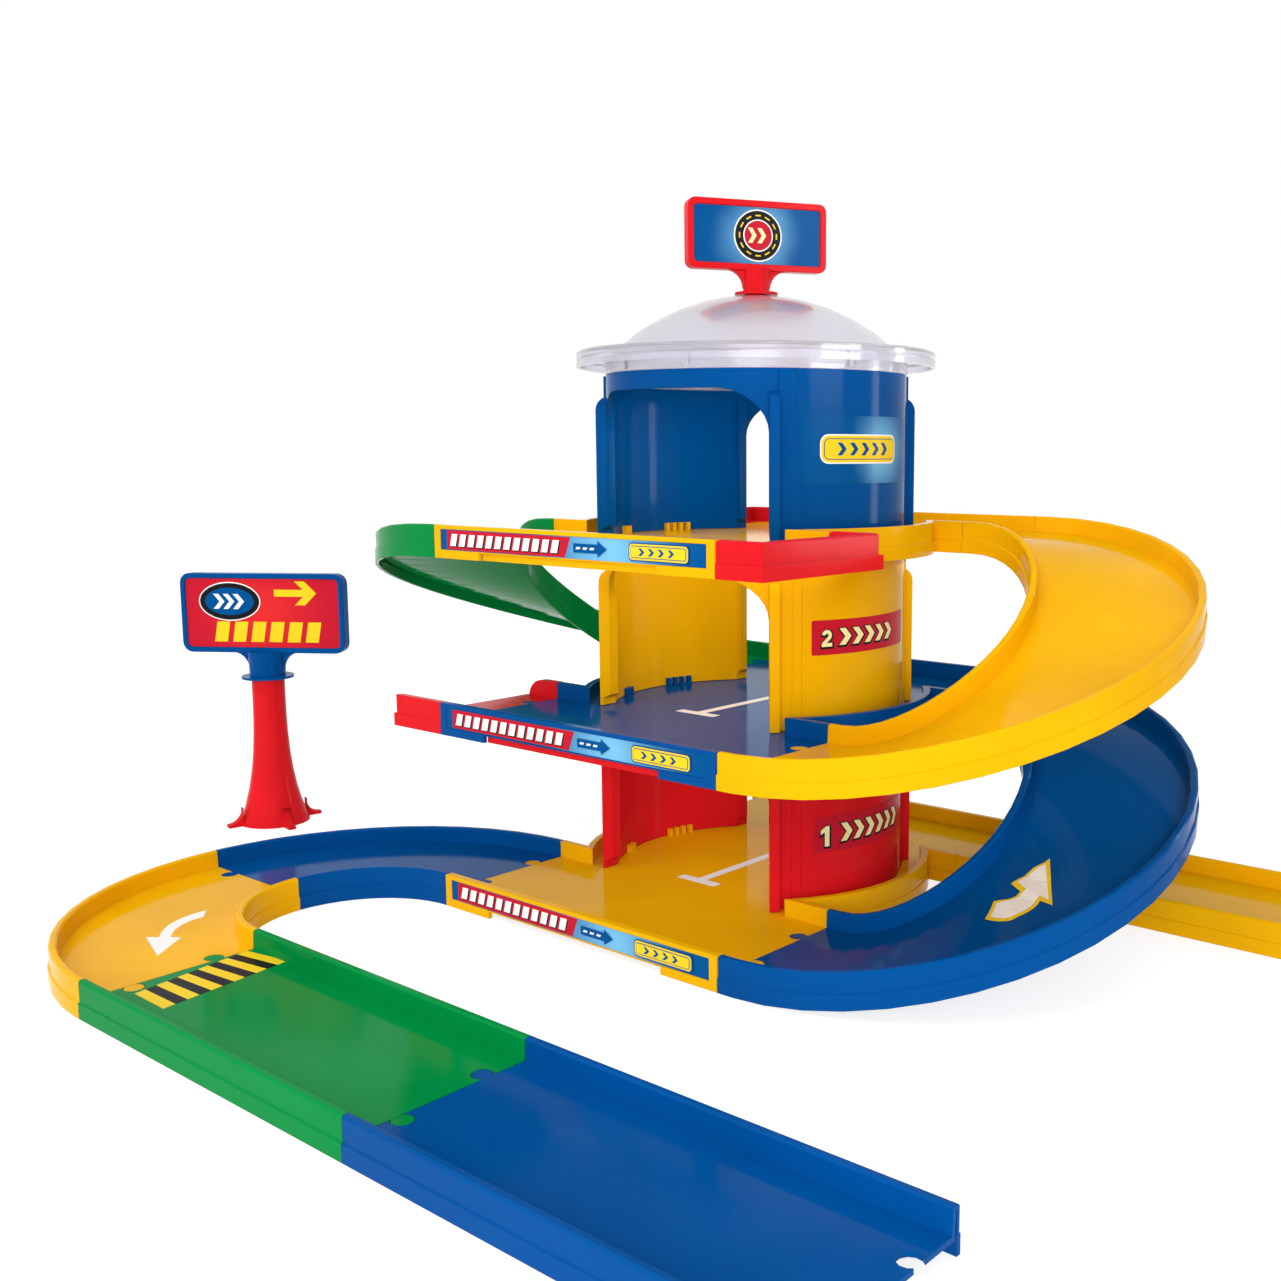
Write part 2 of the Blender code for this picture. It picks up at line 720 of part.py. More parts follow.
def end_cap(name, side, lane_side, level, material):
    """U-shaped stop on the end of a lane, with a wider lower ledge like the track's."""
    half = TRACK_WIDTH / 2
    start = TRACK_START
    end = TRACK_START + CAP_LENGTH
    low_outline = [(start, -half), (end, -half), (end, half + CAP_LEDGE), (start, half + CAP_LEDGE)]
    high_outline = [
        (start, -half + STEP_DEPTH),
        (end - STEP_DEPTH, -half + STEP_DEPTH),
        (end - STEP_DEPTH, half - STEP_DEPTH),
        (start, half - STEP_DEPTH),
    ]
    body = slab(low_outline, 0, STEP_HEIGHT)
    body = join(body, slab(high_outline, STEP_HEIGHT - 0.4, CURB_HEIGHT))
    tray = block(
        (2 * (CAP_LENGTH - CURB_WIDTH), TRACK_WIDTH - 2 * CURB_WIDTH, 2 * (CURB_HEIGHT - DECK_TOP)),
        (start, 0, CURB_HEIGHT),
    )
    under = block(
        (CAP_LENGTH - 2 * SKIRT_WALL, TRACK_WIDTH - 2 * SKIRT_WALL, 2 * DECK_BOTTOM),
        (start + CAP_LENGTH / 2, 0, 0),
    )
    body = cut(body, tray, under)
    body = bevel_edges(body, lambda edge: on_height(edge, CURB_HEIGHT), CURB_CHAMFER)
    body = connect(body, [(start, 0, 0, 180)])
    turn = 0 if side > 0 else 180
    body.matrix_world = (
        Matrix.Translation((0, lane_side * LANE_OFFSET * MM, level * MM))
        @ Matrix.Rotation(math.radians(turn), 4, "Z")
    )
    return finish(place(body, side * start, lane_side * LANE_OFFSET, level, turn), name, material)


def exit_piece(name, level, material):
    """Open end of the middle storey: a short floor between two curbs that stop in rounded noses."""
    half = TRACK_WIDTH / 2
    start = TRACK_START
    floor_end = start + EXIT_FLOOR_LENGTH
    nose = arc(floor_end - 6, 0, 6, -90, 90, 6)
    floor_shape = [(start, -half + 2), *((x, -half + 8 + y) for x, y in nose[:4])]
    floor_shape += [(x, half - 8 + y) for x, y in nose[3:]]
    floor_shape.append((start, half - 2))
    body = slab(floor_shape, DECK_BOTTOM, DECK_TOP)
    front_end = start + EXIT_FRONT_CURB_LENGTH
    radius = CURB_WIDTH
    front_low = [
        (start, half),
        (start, half - CURB_WIDTH),
        (front_end - radius, half - CURB_WIDTH),
        *arc(front_end - radius, half - CURB_WIDTH + radius, radius, -90, 0, 5)[1:],
        (front_end, half),
    ]
    front_high = [(min(x, front_end - 1.6), min(y, half - STEP_DEPTH)) for x, y in front_low]
    body = join(body, slab(front_low, 0, STEP_HEIGHT))
    body = join(body, slab(front_high, STEP_HEIGHT - 0.4, CURB_HEIGHT))
    rounding = EXIT_BACK_CURB_ROUND
    back_end = floor_end
    back_side = [
        (start, 0),
        (back_end, 0),
        *arc(back_end - rounding, CURB_HEIGHT - rounding, rounding, 0, 90, 8),
        (start, CURB_HEIGHT),
    ]
    back = slab(back_side, half - CURB_WIDTH, half, upright())
    body = join(body, back)
    under_centre = (start + EXIT_FLOOR_LENGTH / 2 - 2, half - CURB_WIDTH / 2, 0)
    under = block((EXIT_FLOOR_LENGTH - 8, CURB_WIDTH - 2 * SKIRT_WALL, 2 * DECK_BOTTOM), under_centre)
    body = cut(body, under)
    body = connect(body, [(start, 0, 0, 180)])
    body.matrix_world = (
        Matrix.Translation((0, -LANE_OFFSET * MM, level * MM)) @ Matrix.Rotation(math.pi, 4, "Z")
    )
    return finish(place(body, -start, -LANE_OFFSET, level, 180), name, material)


def dome_height(radius, inward=0.0):
    """Height of the dome's outer or inner skin over the drum, above its springing."""
    sphere = (DOME_RADIUS**2 + DOME_RISE**2) / (2 * DOME_RISE)
    return math.sqrt((sphere - inward) ** 2 - radius**2) - sphere + DOME_RISE


def lid(material):
    """Clear lid: a shallow dome, a wide rim with a grooved lip, and a plug inside the drum."""
    base = TOP_LEVEL + WALL_TOP
    flange_top = base + LID_FLANGE_RISE
    lip_bottom = flange_top - LID_LIP_HEIGHT
    spring = flange_top + 1.4
    hole = AXLE_RADIUS + GAP
    outer = []
    inner = []
    for index in range(DOME_STEPS + 1):
        radius = hole + (DOME_RADIUS - hole) * index / DOME_STEPS
        outer.append((radius, spring + dome_height(radius)))
        inside = hole + (DOME_RADIUS - DOME_WALL - hole) * index / DOME_STEPS
        inner.append((inside, spring + dome_height(inside, DOME_WALL)))
    collar_outer = TOWER_RADIUS - GAP
    plug_outer = TOWER_RADIUS - WALL_THICKNESS - GAP
    flange_under = flange_top - LID_LIP_WALL
    groove = lip_bottom + LID_LIP_HEIGHT / 2
    rim = [
        (LID_LIP_RADIUS - 1.5, flange_top),
        (LID_LIP_RADIUS, flange_top - 1.2),
        (LID_LIP_RADIUS, groove + LID_GROOVE),
        (LID_LIP_RADIUS - LID_GROOVE, groove),
        (LID_LIP_RADIUS, groove - LID_GROOVE),
        (LID_LIP_RADIUS, lip_bottom),
        (LID_LIP_RADIUS - LID_LIP_WALL, lip_bottom),
        (LID_LIP_RADIUS - LID_LIP_WALL, flange_under),
        (collar_outer, flange_under),
        (collar_outer, base + GAP),
        (plug_outer, base + GAP),
        (plug_outer, base - LID_PLUG_DEPTH),
        (plug_outer - LID_PLUG_WALL, base - LID_PLUG_DEPTH),
        (plug_outer - LID_PLUG_WALL, flange_under),
    ]
    body = turned(outer + rim + inner[::-1], TOWER_STEPS)
    tabs = []
    for index in range(LID_TAB_COUNT):
        frame = Matrix.Rotation(2 * math.pi * (index + 0.5) / LID_TAB_COUNT, 4, "Z")
        length = LID_TAB_OUT + 1
        centre = (collar_outer + LID_TAB_OUT / 2 - 0.5, 0, base + 1 + (LID_FLANGE_RISE - 2) / 2)
        tabs.append(block((length, LID_TAB_WIDTH, LID_FLANGE_RISE - 2.4), centre, frame))
    body = join(body, *tabs)
    return finish(place(body, 0, 0, base), "lid_dome", material)


def rounded_rectangle(width, bottom, top, corner):
    half = width / 2
    points = []
    for x, y, start in (
        (half - corner, bottom + corner, -90),
        (half - corner, top - corner, 0),
        (corner - half, top - corner, 90),
        (corner - half, bottom + corner, 180),
    ):
        points += arc(x, y, corner, start, start + 90, 4)
    return points


def sign_head(width, height, thickness, corner, neck_radius, neck_length, disc_radius, wing):
    """Framed panel on a short round neck with a disc below it. The disc's underside is z = 0."""
    bottom = neck_length
    half = thickness / 2
    panel = slab(rounded_rectangle(width, bottom, bottom + height, corner), -half, half, upright())
    panel = bevel_edges(panel, lambda edge: edge.calc_face_angle(0) > 1.2, 0.9)
    inner = rounded_rectangle(
        width - 2 * FRAME_BORDER, bottom + FRAME_BORDER, bottom + height - FRAME_BORDER, corner / 2
    )
    front = slab(inner, half - FRAME_RECESS, half + 1, upright())
    back = slab(inner, -half - 1, FRAME_RECESS - half, upright())
    panel = cut(panel, front, back)
    neck = turned(
        [
            (0, bottom + 1),
            (neck_radius + 0.8, bottom + 1),
            (neck_radius, bottom - 2),
            (neck_radius - 0.4, DISC_THICKNESS),
            (disc_radius, DISC_THICKNESS),
            (disc_radius, 0),
            (0, 0),
        ],
        NECK_STEPS,
        closed=False,
    )
    fillet = min(wing - neck_radius, neck_length - 3)
    left = arc(-wing, bottom - fillet, fillet, 90, 0, 6)
    right = arc(wing, bottom - fillet, fillet, 180, 90, 6)
    wings = [*left, *right, (wing, bottom + 1), (-wing, bottom + 1)]
    web = slab(wings, -SIGN_WING_THICKNESS / 2, SIGN_WING_THICKNESS / 2, upright())
    return join(panel, neck, web)


def top_sign(material):
    """Sign that turns in the lid's centre hole."""
    seat = TOP_LEVEL + WALL_TOP + LID_FLANGE_RISE + 1.4 + DOME_RISE + GAP
    head = sign_head(
        TOP_SIGN_WIDTH,
        TOP_SIGN_HEIGHT,
        TOP_SIGN_THICKNESS,
        TOP_SIGN_CORNER,
        TOP_NECK_RADIUS,
        TOP_NECK_LENGTH,
        TOP_DISC_RADIUS,
        TOP_WING,
    )
    depth = retainer_drop() + RETAINER_HUB_HEIGHT
    axle = turned([(0, 1), (AXLE_RADIUS, 1), (AXLE_RADIUS, -depth), (0, -depth)], 24, closed=False)
    head = join(head, axle)
    turn = Matrix.Rotation(math.radians(TOP_SIGN_ANGLE), 4, "Z")
    head.matrix_world = Matrix.Translation((0, 0, seat * MM)) @ turn
    return finish(place(head, 0, 0, seat, TOP_SIGN_ANGLE), "top_sign", material)


def retainer_drop():
    """How far the retaining disc's top lies below the sign's seat, to clear the dome's inside."""
    return DOME_RISE - dome_height(RETAINER_RADIUS, DOME_WALL) + 2 * GAP


def sign_retainer(material):
    """Disc with a hub, pressed on the sign's axle under the dome."""
    seat = TOP_LEVEL + WALL_TOP + LID_FLANGE_RISE + 1.4 + DOME_RISE + GAP
    bore = AXLE_RADIUS + GAP
    rim_drop = retainer_drop()
    centre_drop = DOME_WALL + 2 * GAP
    profile = [
        (bore, -centre_drop - 0.4),
        (RETAINER_HUB, -centre_drop - 0.8),
        (RETAINER_RADIUS, -rim_drop),
        (RETAINER_RADIUS, -rim_drop - RETAINER_THICKNESS),
        (RETAINER_HUB, -centre_drop - 0.8 - RETAINER_THICKNESS),
        (RETAINER_HUB, -rim_drop - RETAINER_HUB_HEIGHT + 1),
        (bore, -rim_drop - RETAINER_HUB_HEIGHT + 1),
    ]
    disc = turned(profile, NECK_STEPS)
    disc.matrix_world = Matrix.Translation((0, 0, seat * MM))
    return finish(place(disc, 0, 0, seat), "sign_retainer", material)


def post_radius(height):
    """Trumpet flare of the road sign's post: slim above, wide at the floor."""
    share = 1 - height / POST_HEIGHT
    return POST_TOP_RADIUS + (POST_FOOT_RADIUS - POST_TOP_RADIUS) * share**3.2


def road_post(material):
    """Hollow flared post with four spread toes."""
    x, y = ROAD_SIGN_PLACE
    heights = [POST_HEIGHT * (1 - index / POST_ROWS) for index in range(POST_ROWS + 1)]
    outer = [(post_radius(height), height) for height in heights]
    inner = [(post_radius(height) - POST_WALL, height) for height in reversed(heights)]
    post = turned(outer + inner, POST_STEPS)
    start = POST_FOOT_RADIUS - POST_WALL / 2
    hollow = arc(POST_FIN_REACH, POST_FIN_HEIGHT, POST_FIN_HEIGHT - POST_FIN_TOE, -90, -180, 8)
    outline = [(start, 0), (POST_FIN_REACH, 0), *((px, py) for px, py in hollow if px > start)]
    outline.append((start, POST_FIN_HEIGHT))
    half = POST_FIN_THICKNESS / 2
    fins = []
    for index in range(POST_FIN_COUNT):
        azimuth = 360 * (index + 0.5) / POST_FIN_COUNT + ROAD_SIGN_ANGLE
        fins.append(slab(outline, -half, half, upright(azimuth)))
    post = join(post, *fins)
    post.matrix_world = Matrix.Translation((x * MM, y * MM, 0))
    return finish(place(post, x, y, 0), "road_sign_post", material)


def road_sign(material):
    """Sign head whose plug turns in the post's mouth."""
    x, y = ROAD_SIGN_PLACE
    seat = POST_HEIGHT + GAP
    head = sign_head(
        ROAD_SIGN_WIDTH,
        ROAD_SIGN_HEIGHT,
        ROAD_SIGN_THICKNESS,
        ROAD_SIGN_CORNER,
        ROAD_NECK_RADIUS,
        ROAD_NECK_LENGTH,
        ROAD_DISC_RADIUS,
        ROAD_WING,
    )
    plug_radius = POST_TOP_RADIUS - POST_WALL - GAP
    plug = turned([(0, 1), (plug_radius, 1), (plug_radius, -15), (0, -15)], 24, closed=False)
    head = join(head, plug)
    turn = Matrix.Rotation(math.radians(ROAD_SIGN_ANGLE), 4, "Z")
    head.matrix_world = Matrix.Translation((x * MM, y * MM, seat * MM)) @ turn
    return finish(place(head, x, y, seat, ROAD_SIGN_ANGLE), "road_sign_head", material)


def main():
    yellow = plastic("yellow_plastic", YELLOW)
    blue = plastic("blue_plastic", BLUE)
    red = plastic("red_plastic", RED)
    green = plastic("green_plastic", GREEN)
    clear = plastic("clear_plastic", CLEAR, 0.15, 0.85)

    for number, material in ((1, yellow), (2, blue), (3, yellow)):
        platform(number, material)
    for number, material in ((1, red), (2, yellow), (3, blue)):
        tower_wall(number, material)

    ramp("ramp_blue", 1, 0, blue)
    ramp("ramp_yellow", 1, LEVEL_RISE, yellow)
    ramp("ramp_green", -1, LEVEL_RISE, green)

    curve_track("curve_blue", 90, blue)
    curve_track("curve_yellow", 180, yellow)
    straight_track("straight_green", -TRACK_START + GAP, LOWER_LANE_Y, green)
    straight_track("straight_blue", -TRACK_START + 2 * GAP + PLATFORM_LENGTH, LOWER_LANE_Y, blue)
    straight_track("straight_yellow", TRACK_START, LANE_OFFSET, yellow)

    end_cap("cap_front_right", 1, -1, TOP_LEVEL, red)
    end_cap("cap_back_left", -1, 1, TOP_LEVEL, red)
    exit_piece("exit_front_left", LEVEL_RISE, red)

    lid(clear)
    top_sign(red)
    sign_retainer(red)
    road_post(red)
    road_sign(blue)


clear_scene()
WORKSHOP = new_collection("workshop")
CUTTERS = new_collection("cutters")
CUTTERS.hide_render = True
GARAGE = new_collection("toy_parking_garage")

if __name__ == "__main__":
    main()
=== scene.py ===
"""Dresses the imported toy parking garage: moulded plastics, stickers, deck markings and a studio."""

import json
import math

import bpy
from bpy.props import FloatProperty, FloatVectorProperty, PointerProperty
from bpy.types import Operator, Panel, PropertyGroup
from mathutils import Matrix, Vector

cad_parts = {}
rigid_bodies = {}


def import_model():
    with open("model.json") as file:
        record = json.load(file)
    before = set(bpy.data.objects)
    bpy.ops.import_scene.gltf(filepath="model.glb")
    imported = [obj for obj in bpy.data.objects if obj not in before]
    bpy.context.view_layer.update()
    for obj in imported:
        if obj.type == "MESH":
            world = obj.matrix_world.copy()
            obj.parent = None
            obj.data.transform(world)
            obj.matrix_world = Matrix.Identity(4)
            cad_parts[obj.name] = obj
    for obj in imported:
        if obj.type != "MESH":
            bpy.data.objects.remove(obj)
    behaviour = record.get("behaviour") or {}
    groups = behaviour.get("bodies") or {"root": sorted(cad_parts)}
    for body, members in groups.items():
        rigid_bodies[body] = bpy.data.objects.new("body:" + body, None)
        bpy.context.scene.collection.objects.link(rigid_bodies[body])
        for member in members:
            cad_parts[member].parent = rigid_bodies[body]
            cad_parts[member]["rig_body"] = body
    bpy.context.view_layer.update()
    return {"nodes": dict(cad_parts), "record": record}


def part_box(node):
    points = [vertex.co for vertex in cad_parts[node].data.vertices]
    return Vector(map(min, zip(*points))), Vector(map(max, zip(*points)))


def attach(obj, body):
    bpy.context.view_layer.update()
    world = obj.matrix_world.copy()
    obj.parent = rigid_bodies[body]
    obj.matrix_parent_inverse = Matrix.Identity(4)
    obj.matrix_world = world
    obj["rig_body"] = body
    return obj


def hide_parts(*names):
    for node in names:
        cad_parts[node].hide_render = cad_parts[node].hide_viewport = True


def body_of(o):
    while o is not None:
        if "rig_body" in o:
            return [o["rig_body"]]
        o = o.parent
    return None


bl_info = {
    "name": "Toy Parking Garage",
    "version": (1, 0, 0),
    "blender": (4, 5, 0),
    "location": "View3D > Sidebar > Garage",
    "description": "Plastics, stickers and markings for a toy parking garage on its packed frame",
    "category": "Object",
}

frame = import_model()

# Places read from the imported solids, in metres. The walls stand a small gap above the decks.
SEAT_GAP = 0.0003
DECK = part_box("tower_wall_1")[0].z - SEAT_GAP
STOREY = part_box("platform_2")[0].z
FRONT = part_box("platform_1")[0].y
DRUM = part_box("tower_wall_1")[1].x

# The axis that the road sign turns about
SIGN_POST = Vector((-0.348, -0.114, 0))

# Thickness of one printed film, and its distance from the tower's wall
VINYL = 0.00012
STICKER_GAP = 0.00005

# How finely prints are cut to follow the tower's wall and the ramp's deck
WRAP_PITCH = 0.004
DRAPE_PITCH = 0.003

# Corners nearer to each other than this are one corner
SAME_PLACE = 0.000002

# A border's corners reach out at most this many times its width
LONGEST_CORNER = 2.2

# Gloss of plastic and print: low, so that the white studio doesn't wash the colours out
PLASTIC_IOR = 1.49
SPECULAR = 0.03

# Studio lamps, each with its place and size in metres, its power setting and its share of that
LAMPS = (
    ("key", (0.91, -1.13, 0.40), 0.8, "key", 1.0),
    ("left_fill", (-0.9, -1.2, 0.7), 0.9, "fill", 0.8),
    ("top_fill", (-0.3, -0.6, 1.6), 1.1, "fill", 1.5),
    ("back_fill", (0.2, 1.5, 1.3), 1.2, "fill", 1.0),
)
LAMP_TARGET = Vector((-0.02, -0.08, 0.15))

# Size of the lamp under each storey's ceiling, and its share of the storey setting
STOREY_LAMPS = ((0.17, 0.65), (0.17, 1.0), (0.07, 0.4))
CEILING_GAP = 0.006

# Softboxes seen only as reflections: place, width and height
GLEAMS = (
    ("side_gleam", (1.5, 0.05, 0.72), 0.7, 0.8),
    ("edge_gleam", (1.0, 1.1, 0.6), 0.2, 1.0),
)

# The photograph's camera, fitted to the tower and the track: metres, degrees, frame widths and mm
CAMERA_PLACE = (0.52863, -0.63282, 0.25903)
CAMERA_TURN = (82.107, -0.083, 38.754)
CAMERA_SHIFT = (-0.1119, 0.0019)
SENSOR_WIDTH = 36.0

# How much of the floor is its own glow where a camera or a mirror sees it
FLOOR_GLOW = 1.42
GLOW_SHARE = 0.55


def colour_property(name, description, default):
    return FloatVectorProperty(
        name=name,
        description=description,
        default=default,
        size=3,
        min=0,
        max=1,
        subtype="COLOR",
    )


def amount_property(name, description, default, least=0):
    return FloatProperty(name=name, description=description, default=default, min=least)


class GaragePlastics(PropertyGroup):
    """Colours and gloss of the moulded plastics"""

    yellow: colour_property("Yellow", "Platforms, upper ramp and walls", (0.89, 0.455, 0.002))
    blue: colour_property("Blue", "Platforms, lower ramp and drum", (0.0003, 0.074, 0.29))
    red: colour_property("Red", "Walls, end pieces and signs", (0.72, 0.012, 0.018))
    green: colour_property("Green", "Left ramp and straight track", (0.0, 0.25, 0.052))
    clear: colour_property("Clear", "Frosted lid", (0.88, 0.88, 0.95))
    gloss: FloatProperty(
        name="Roughness",
        description="Roughness of the moulded plastic",
        default=0.1,
        min=0.02,
        max=1,
    )
    edge: FloatProperty(
        name="Edge softness",
        description="Rounding seen along moulded edges",
        default=0.0005,
        min=0,
        unit="LENGTH",
        subtype="DISTANCE",
    )
    crease: FloatProperty(
        name="Crease angle",
        description="Moulded faces that meet at less than this angle look like one curved face",
        default=math.radians(28),
        subtype="ANGLE",
    )


class GaragePrints(PropertyGroup):
    """Colours of the stickers and painted markings"""

    white: colour_property("White", "Deck markings", (0.93, 0.92, 0.89))
    cream: colour_property("Cream", "Digits and marks on the red stickers", (0.95, 0.87, 0.42))
    signal: colour_property("Signal yellow", "Arrows, digits and plates", (0.90, 0.63, 0.02))
    black: colour_property("Black", "Outlines and hazard bars", (0.012, 0.012, 0.014))
    crimson: colour_property("Crimson", "Red print on the stickers", (0.55, 0.012, 0.03))
    scarlet: colour_property("Scarlet", "Bright middle of the road sign", (0.78, 0.03, 0.03))
    azure: colour_property("Azure", "Bright middle of the blue stickers", (0.20, 0.53, 0.82))
    navy: colour_property("Navy", "Dark edge of the blue stickers", (0.0, 0.082, 0.28))


class GarageStage(PropertyGroup):
    """Floor, lights and camera"""

    floor: colour_property("Floor", "Colour of floor and backdrop", (0.86, 0.86, 0.86))
    key: amount_property("Key light", "Power of the key light in watts", 12.2)
    fill: amount_property("Fill light", "Power of the back fill light in watts", 5.0)
    gleam: amount_property("Gleam", "Reflected softboxes in watts per square metre", 34.0)
    storey: amount_property("Storey lights", "Power of the light inside a storey in watts", 0.10)
    world: amount_property("Ambient", "Strength of the surrounding light", 0.6)
    lens: amount_property("Lens", "Focal length in millimetres", 38.98, 1)


def socket(shader, name, value):
    shader.inputs[name].default_value = value


def new_material(name):
    material = bpy.data.materials.new(name)
    material.use_nodes = True
    nodes = material.node_tree.nodes
    return material, nodes, material.node_tree.links, nodes["Principled BSDF"]


def add_node(nodes, kind, **values):
    node = nodes.new(kind)
    for key, value in values.items():
        if key in node.inputs:
            node.inputs[key].default_value = value
        else:
            setattr(node, key, value)
    return node


def shade(colour, factor):
    return tuple(min(channel * factor, 1.0) for channel in colour) + (1.0,)


def moulded_plastic(name, colour, roughness, edge):
    """Glossy injection-moulded plastic: faint flow clouds, uneven gloss, some orange peel."""
    material, nodes, links, shader = new_material(name)
    place = add_node(nodes, "ShaderNodeTexCoord")
    clouds = add_node(
        nodes, "ShaderNodeTexNoise", Scale=9.0, Detail=3.0, Roughness=0.55, Distortion=0.6
    )
    links.new(place.outputs["Object"], clouds.inputs["Vector"])
    tint = add_node(nodes, "ShaderNodeValToRGB")
    tint.color_ramp.elements[0].position = 0.32
    tint.color_ramp.elements[0].color = shade(colour, 0.90)
    tint.color_ramp.elements[1].position = 0.70
    tint.color_ramp.elements[1].color = shade(colour, 1.05)
    links.new(clouds.outputs["Fac"], tint.inputs["Fac"])
    links.new(tint.outputs["Color"], shader.inputs["Base Color"])
    handling = add_node(nodes, "ShaderNodeTexNoise", Scale=55.0, Detail=5.0, Roughness=0.65)
    links.new(place.outputs["Object"], handling.inputs["Vector"])
    gloss = add_node(nodes, "ShaderNodeMapRange")
    socket(gloss, "From Min", 0.3)
    socket(gloss, "From Max", 0.7)
    socket(gloss, "To Min", roughness * 0.8)
    socket(gloss, "To Max", roughness * 1.3)
    links.new(handling.outputs["Fac"], gloss.inputs["Value"])
    links.new(gloss.outputs["Result"], shader.inputs["Roughness"])
    peel = add_node(nodes, "ShaderNodeTexNoise", Scale=420.0, Detail=2.0, Roughness=0.5)
    links.new(place.outputs["Object"], peel.inputs["Vector"])
    rounded = add_node(nodes, "ShaderNodeBevel", samples=4, Radius=edge)
    bump = add_node(nodes, "ShaderNodeBump", Strength=0.035, Distance=0.0004)
    links.new(peel.outputs["Fac"], bump.inputs["Height"])
    links.new(rounded.outputs["Normal"], bump.inputs["Normal"])
    links.new(bump.outputs["Normal"], shader.inputs["Normal"])
    socket(shader, "IOR", PLASTIC_IOR)
    socket(shader, "Specular IOR Level", SPECULAR)
    return material


def frosted_plastic(name, colour, edge):
    """Milky clear plastic: light passes through it, softened by a finely etched skin."""
    material, nodes, links, shader = new_material(name)
    place = add_node(nodes, "ShaderNodeTexCoord")
    haze = add_node(nodes, "ShaderNodeTexNoise", Scale=22.0, Detail=4.0, Roughness=0.6)
    links.new(place.outputs["Object"], haze.inputs["Vector"])
    tint = add_node(nodes, "ShaderNodeValToRGB")
    tint.color_ramp.elements[0].color = shade(colour, 0.96)
    tint.color_ramp.elements[1].color = shade(colour, 1.03)
    links.new(haze.outputs["Fac"], tint.inputs["Fac"])
    links.new(tint.outputs["Color"], shader.inputs["Base Color"])
    etch = add_node(nodes, "ShaderNodeMapRange")
    socket(etch, "To Min", 0.16)
    socket(etch, "To Max", 0.26)
    links.new(haze.outputs["Fac"], etch.inputs["Value"])
    links.new(etch.outputs["Result"], shader.inputs["Roughness"])
    rounded = add_node(nodes, "ShaderNodeBevel", samples=4, Radius=edge)
    links.new(rounded.outputs["Normal"], shader.inputs["Normal"])
    socket(shader, "Transmission Weight", 0.86)
    socket(shader, "IOR", 1.3)
    socket(shader, "Coat Weight", 0.4)
    socket(shader, "Coat Roughness", 0.08)
    return material


def printed_vinyl(name, colour):
    """One ink on glossy vinyl, with a faint halftone and a rippled film."""
    material, nodes, links, shader = new_material(name)
    place = add_node(nodes, "ShaderNodeTexCoord")
    grain = add_node(nodes, "ShaderNodeTexNoise", Scale=700.0, Detail=2.0)
    links.new(place.outputs["Object"], grain.inputs["Vector"])
    tint = add_node(nodes, "ShaderNodeValToRGB")
    tint.color_ramp.elements[0].color = shade(colour, 0.94)
    tint.color_ramp.elements[1].color = shade(colour, 1.04)
    links.new(grain.outputs["Fac"], tint.inputs["Fac"])
    links.new(tint.outputs["Color"], shader.inputs["Base Color"])
    ripple = add_node(nodes, "ShaderNodeTexNoise", Scale=90.0, Detail=2.0)
    links.new(place.outputs["Object"], ripple.inputs["Vector"])
    bump = add_node(nodes, "ShaderNodeBump", Strength=0.06, Distance=0.0003)
    links.new(ripple.outputs["Fac"], bump.inputs["Height"])
    links.new(bump.outputs["Normal"], shader.inputs["Normal"])
    socket(shader, "Roughness", 0.22)
    socket(shader, "Specular IOR Level", SPECULAR)
    return material


def glowing_print(name, bright, dark, centre, reach):
    """Print that brightens towards a point on the sticker, like an airbrushed glow."""
    material, nodes, links, shader = new_material(name)
    place = add_node(nodes, "ShaderNodeTexCoord")
    offset = add_node(nodes, "ShaderNodeVectorMath", operation="SUBTRACT")
    offset.inputs[1].default_value = centre
    links.new(place.outputs["Object"], offset.inputs[0])
    distance = add_node(nodes, "ShaderNodeVectorMath", operation="LENGTH")
    links.new(offset.outputs["Vector"], distance.inputs[0])
    wander = add_node(nodes, "ShaderNodeTexNoise", Scale=40.0, Detail=3.0)
    links.new(place.outputs["Object"], wander.inputs["Vector"])
    soft = add_node(nodes, "ShaderNodeMath", operation="MULTIPLY_ADD")
    soft.inputs[1].default_value = reach * 0.25
    links.new(wander.outputs["Fac"], soft.inputs[0])
    links.new(distance.outputs["Value"], soft.inputs[2])
    fade = add_node(nodes, "ShaderNodeMapRange", interpolation_type="SMOOTHSTEP")
    socket(fade, "From Min", 0.0)
    socket(fade, "From Max", reach)
    links.new(soft.outputs["Value"], fade.inputs["Value"])
    tint = add_node(nodes, "ShaderNodeValToRGB")
    tint.color_ramp.elements[0].color = shade(bright, 1.0)
    tint.color_ramp.elements[1].color = shade(dark, 1.0)
    links.new(fade.outputs["Result"], tint.inputs["Fac"])
    links.new(tint.outputs["Color"], shader.inputs["Base Color"])
    socket(shader, "Roughness", 0.2)
    socket(shader, "Specular IOR Level", SPECULAR)
    return material


def shows_backdrop(nodes, links):
    """One for rays that show the backdrop: seen directly, mirrored or through clear plastic."""
    rays = add_node(nodes, "ShaderNodeLightPath")
    mirrored = add_node(nodes, "ShaderNodeMath", operation="MAXIMUM")
    links.new(rays.outputs["Is Camera Ray"], mirrored.inputs[0])
    links.new(rays.outputs["Is Glossy Ray"], mirrored.inputs[1])
    either = add_node(nodes, "ShaderNodeMath", operation="MAXIMUM")
    links.new(mirrored.outputs["Value"], either.inputs[0])
    links.new(rays.outputs["Is Transmission Ray"], either.inputs[1])
    return either.outputs["Value"]


def deselect():
    bpy.ops.object.select_all(action="DESELECT")


def activate(obj):
    deselect()
    obj.select_set(True)
    bpy.context.view_layer.objects.active = obj


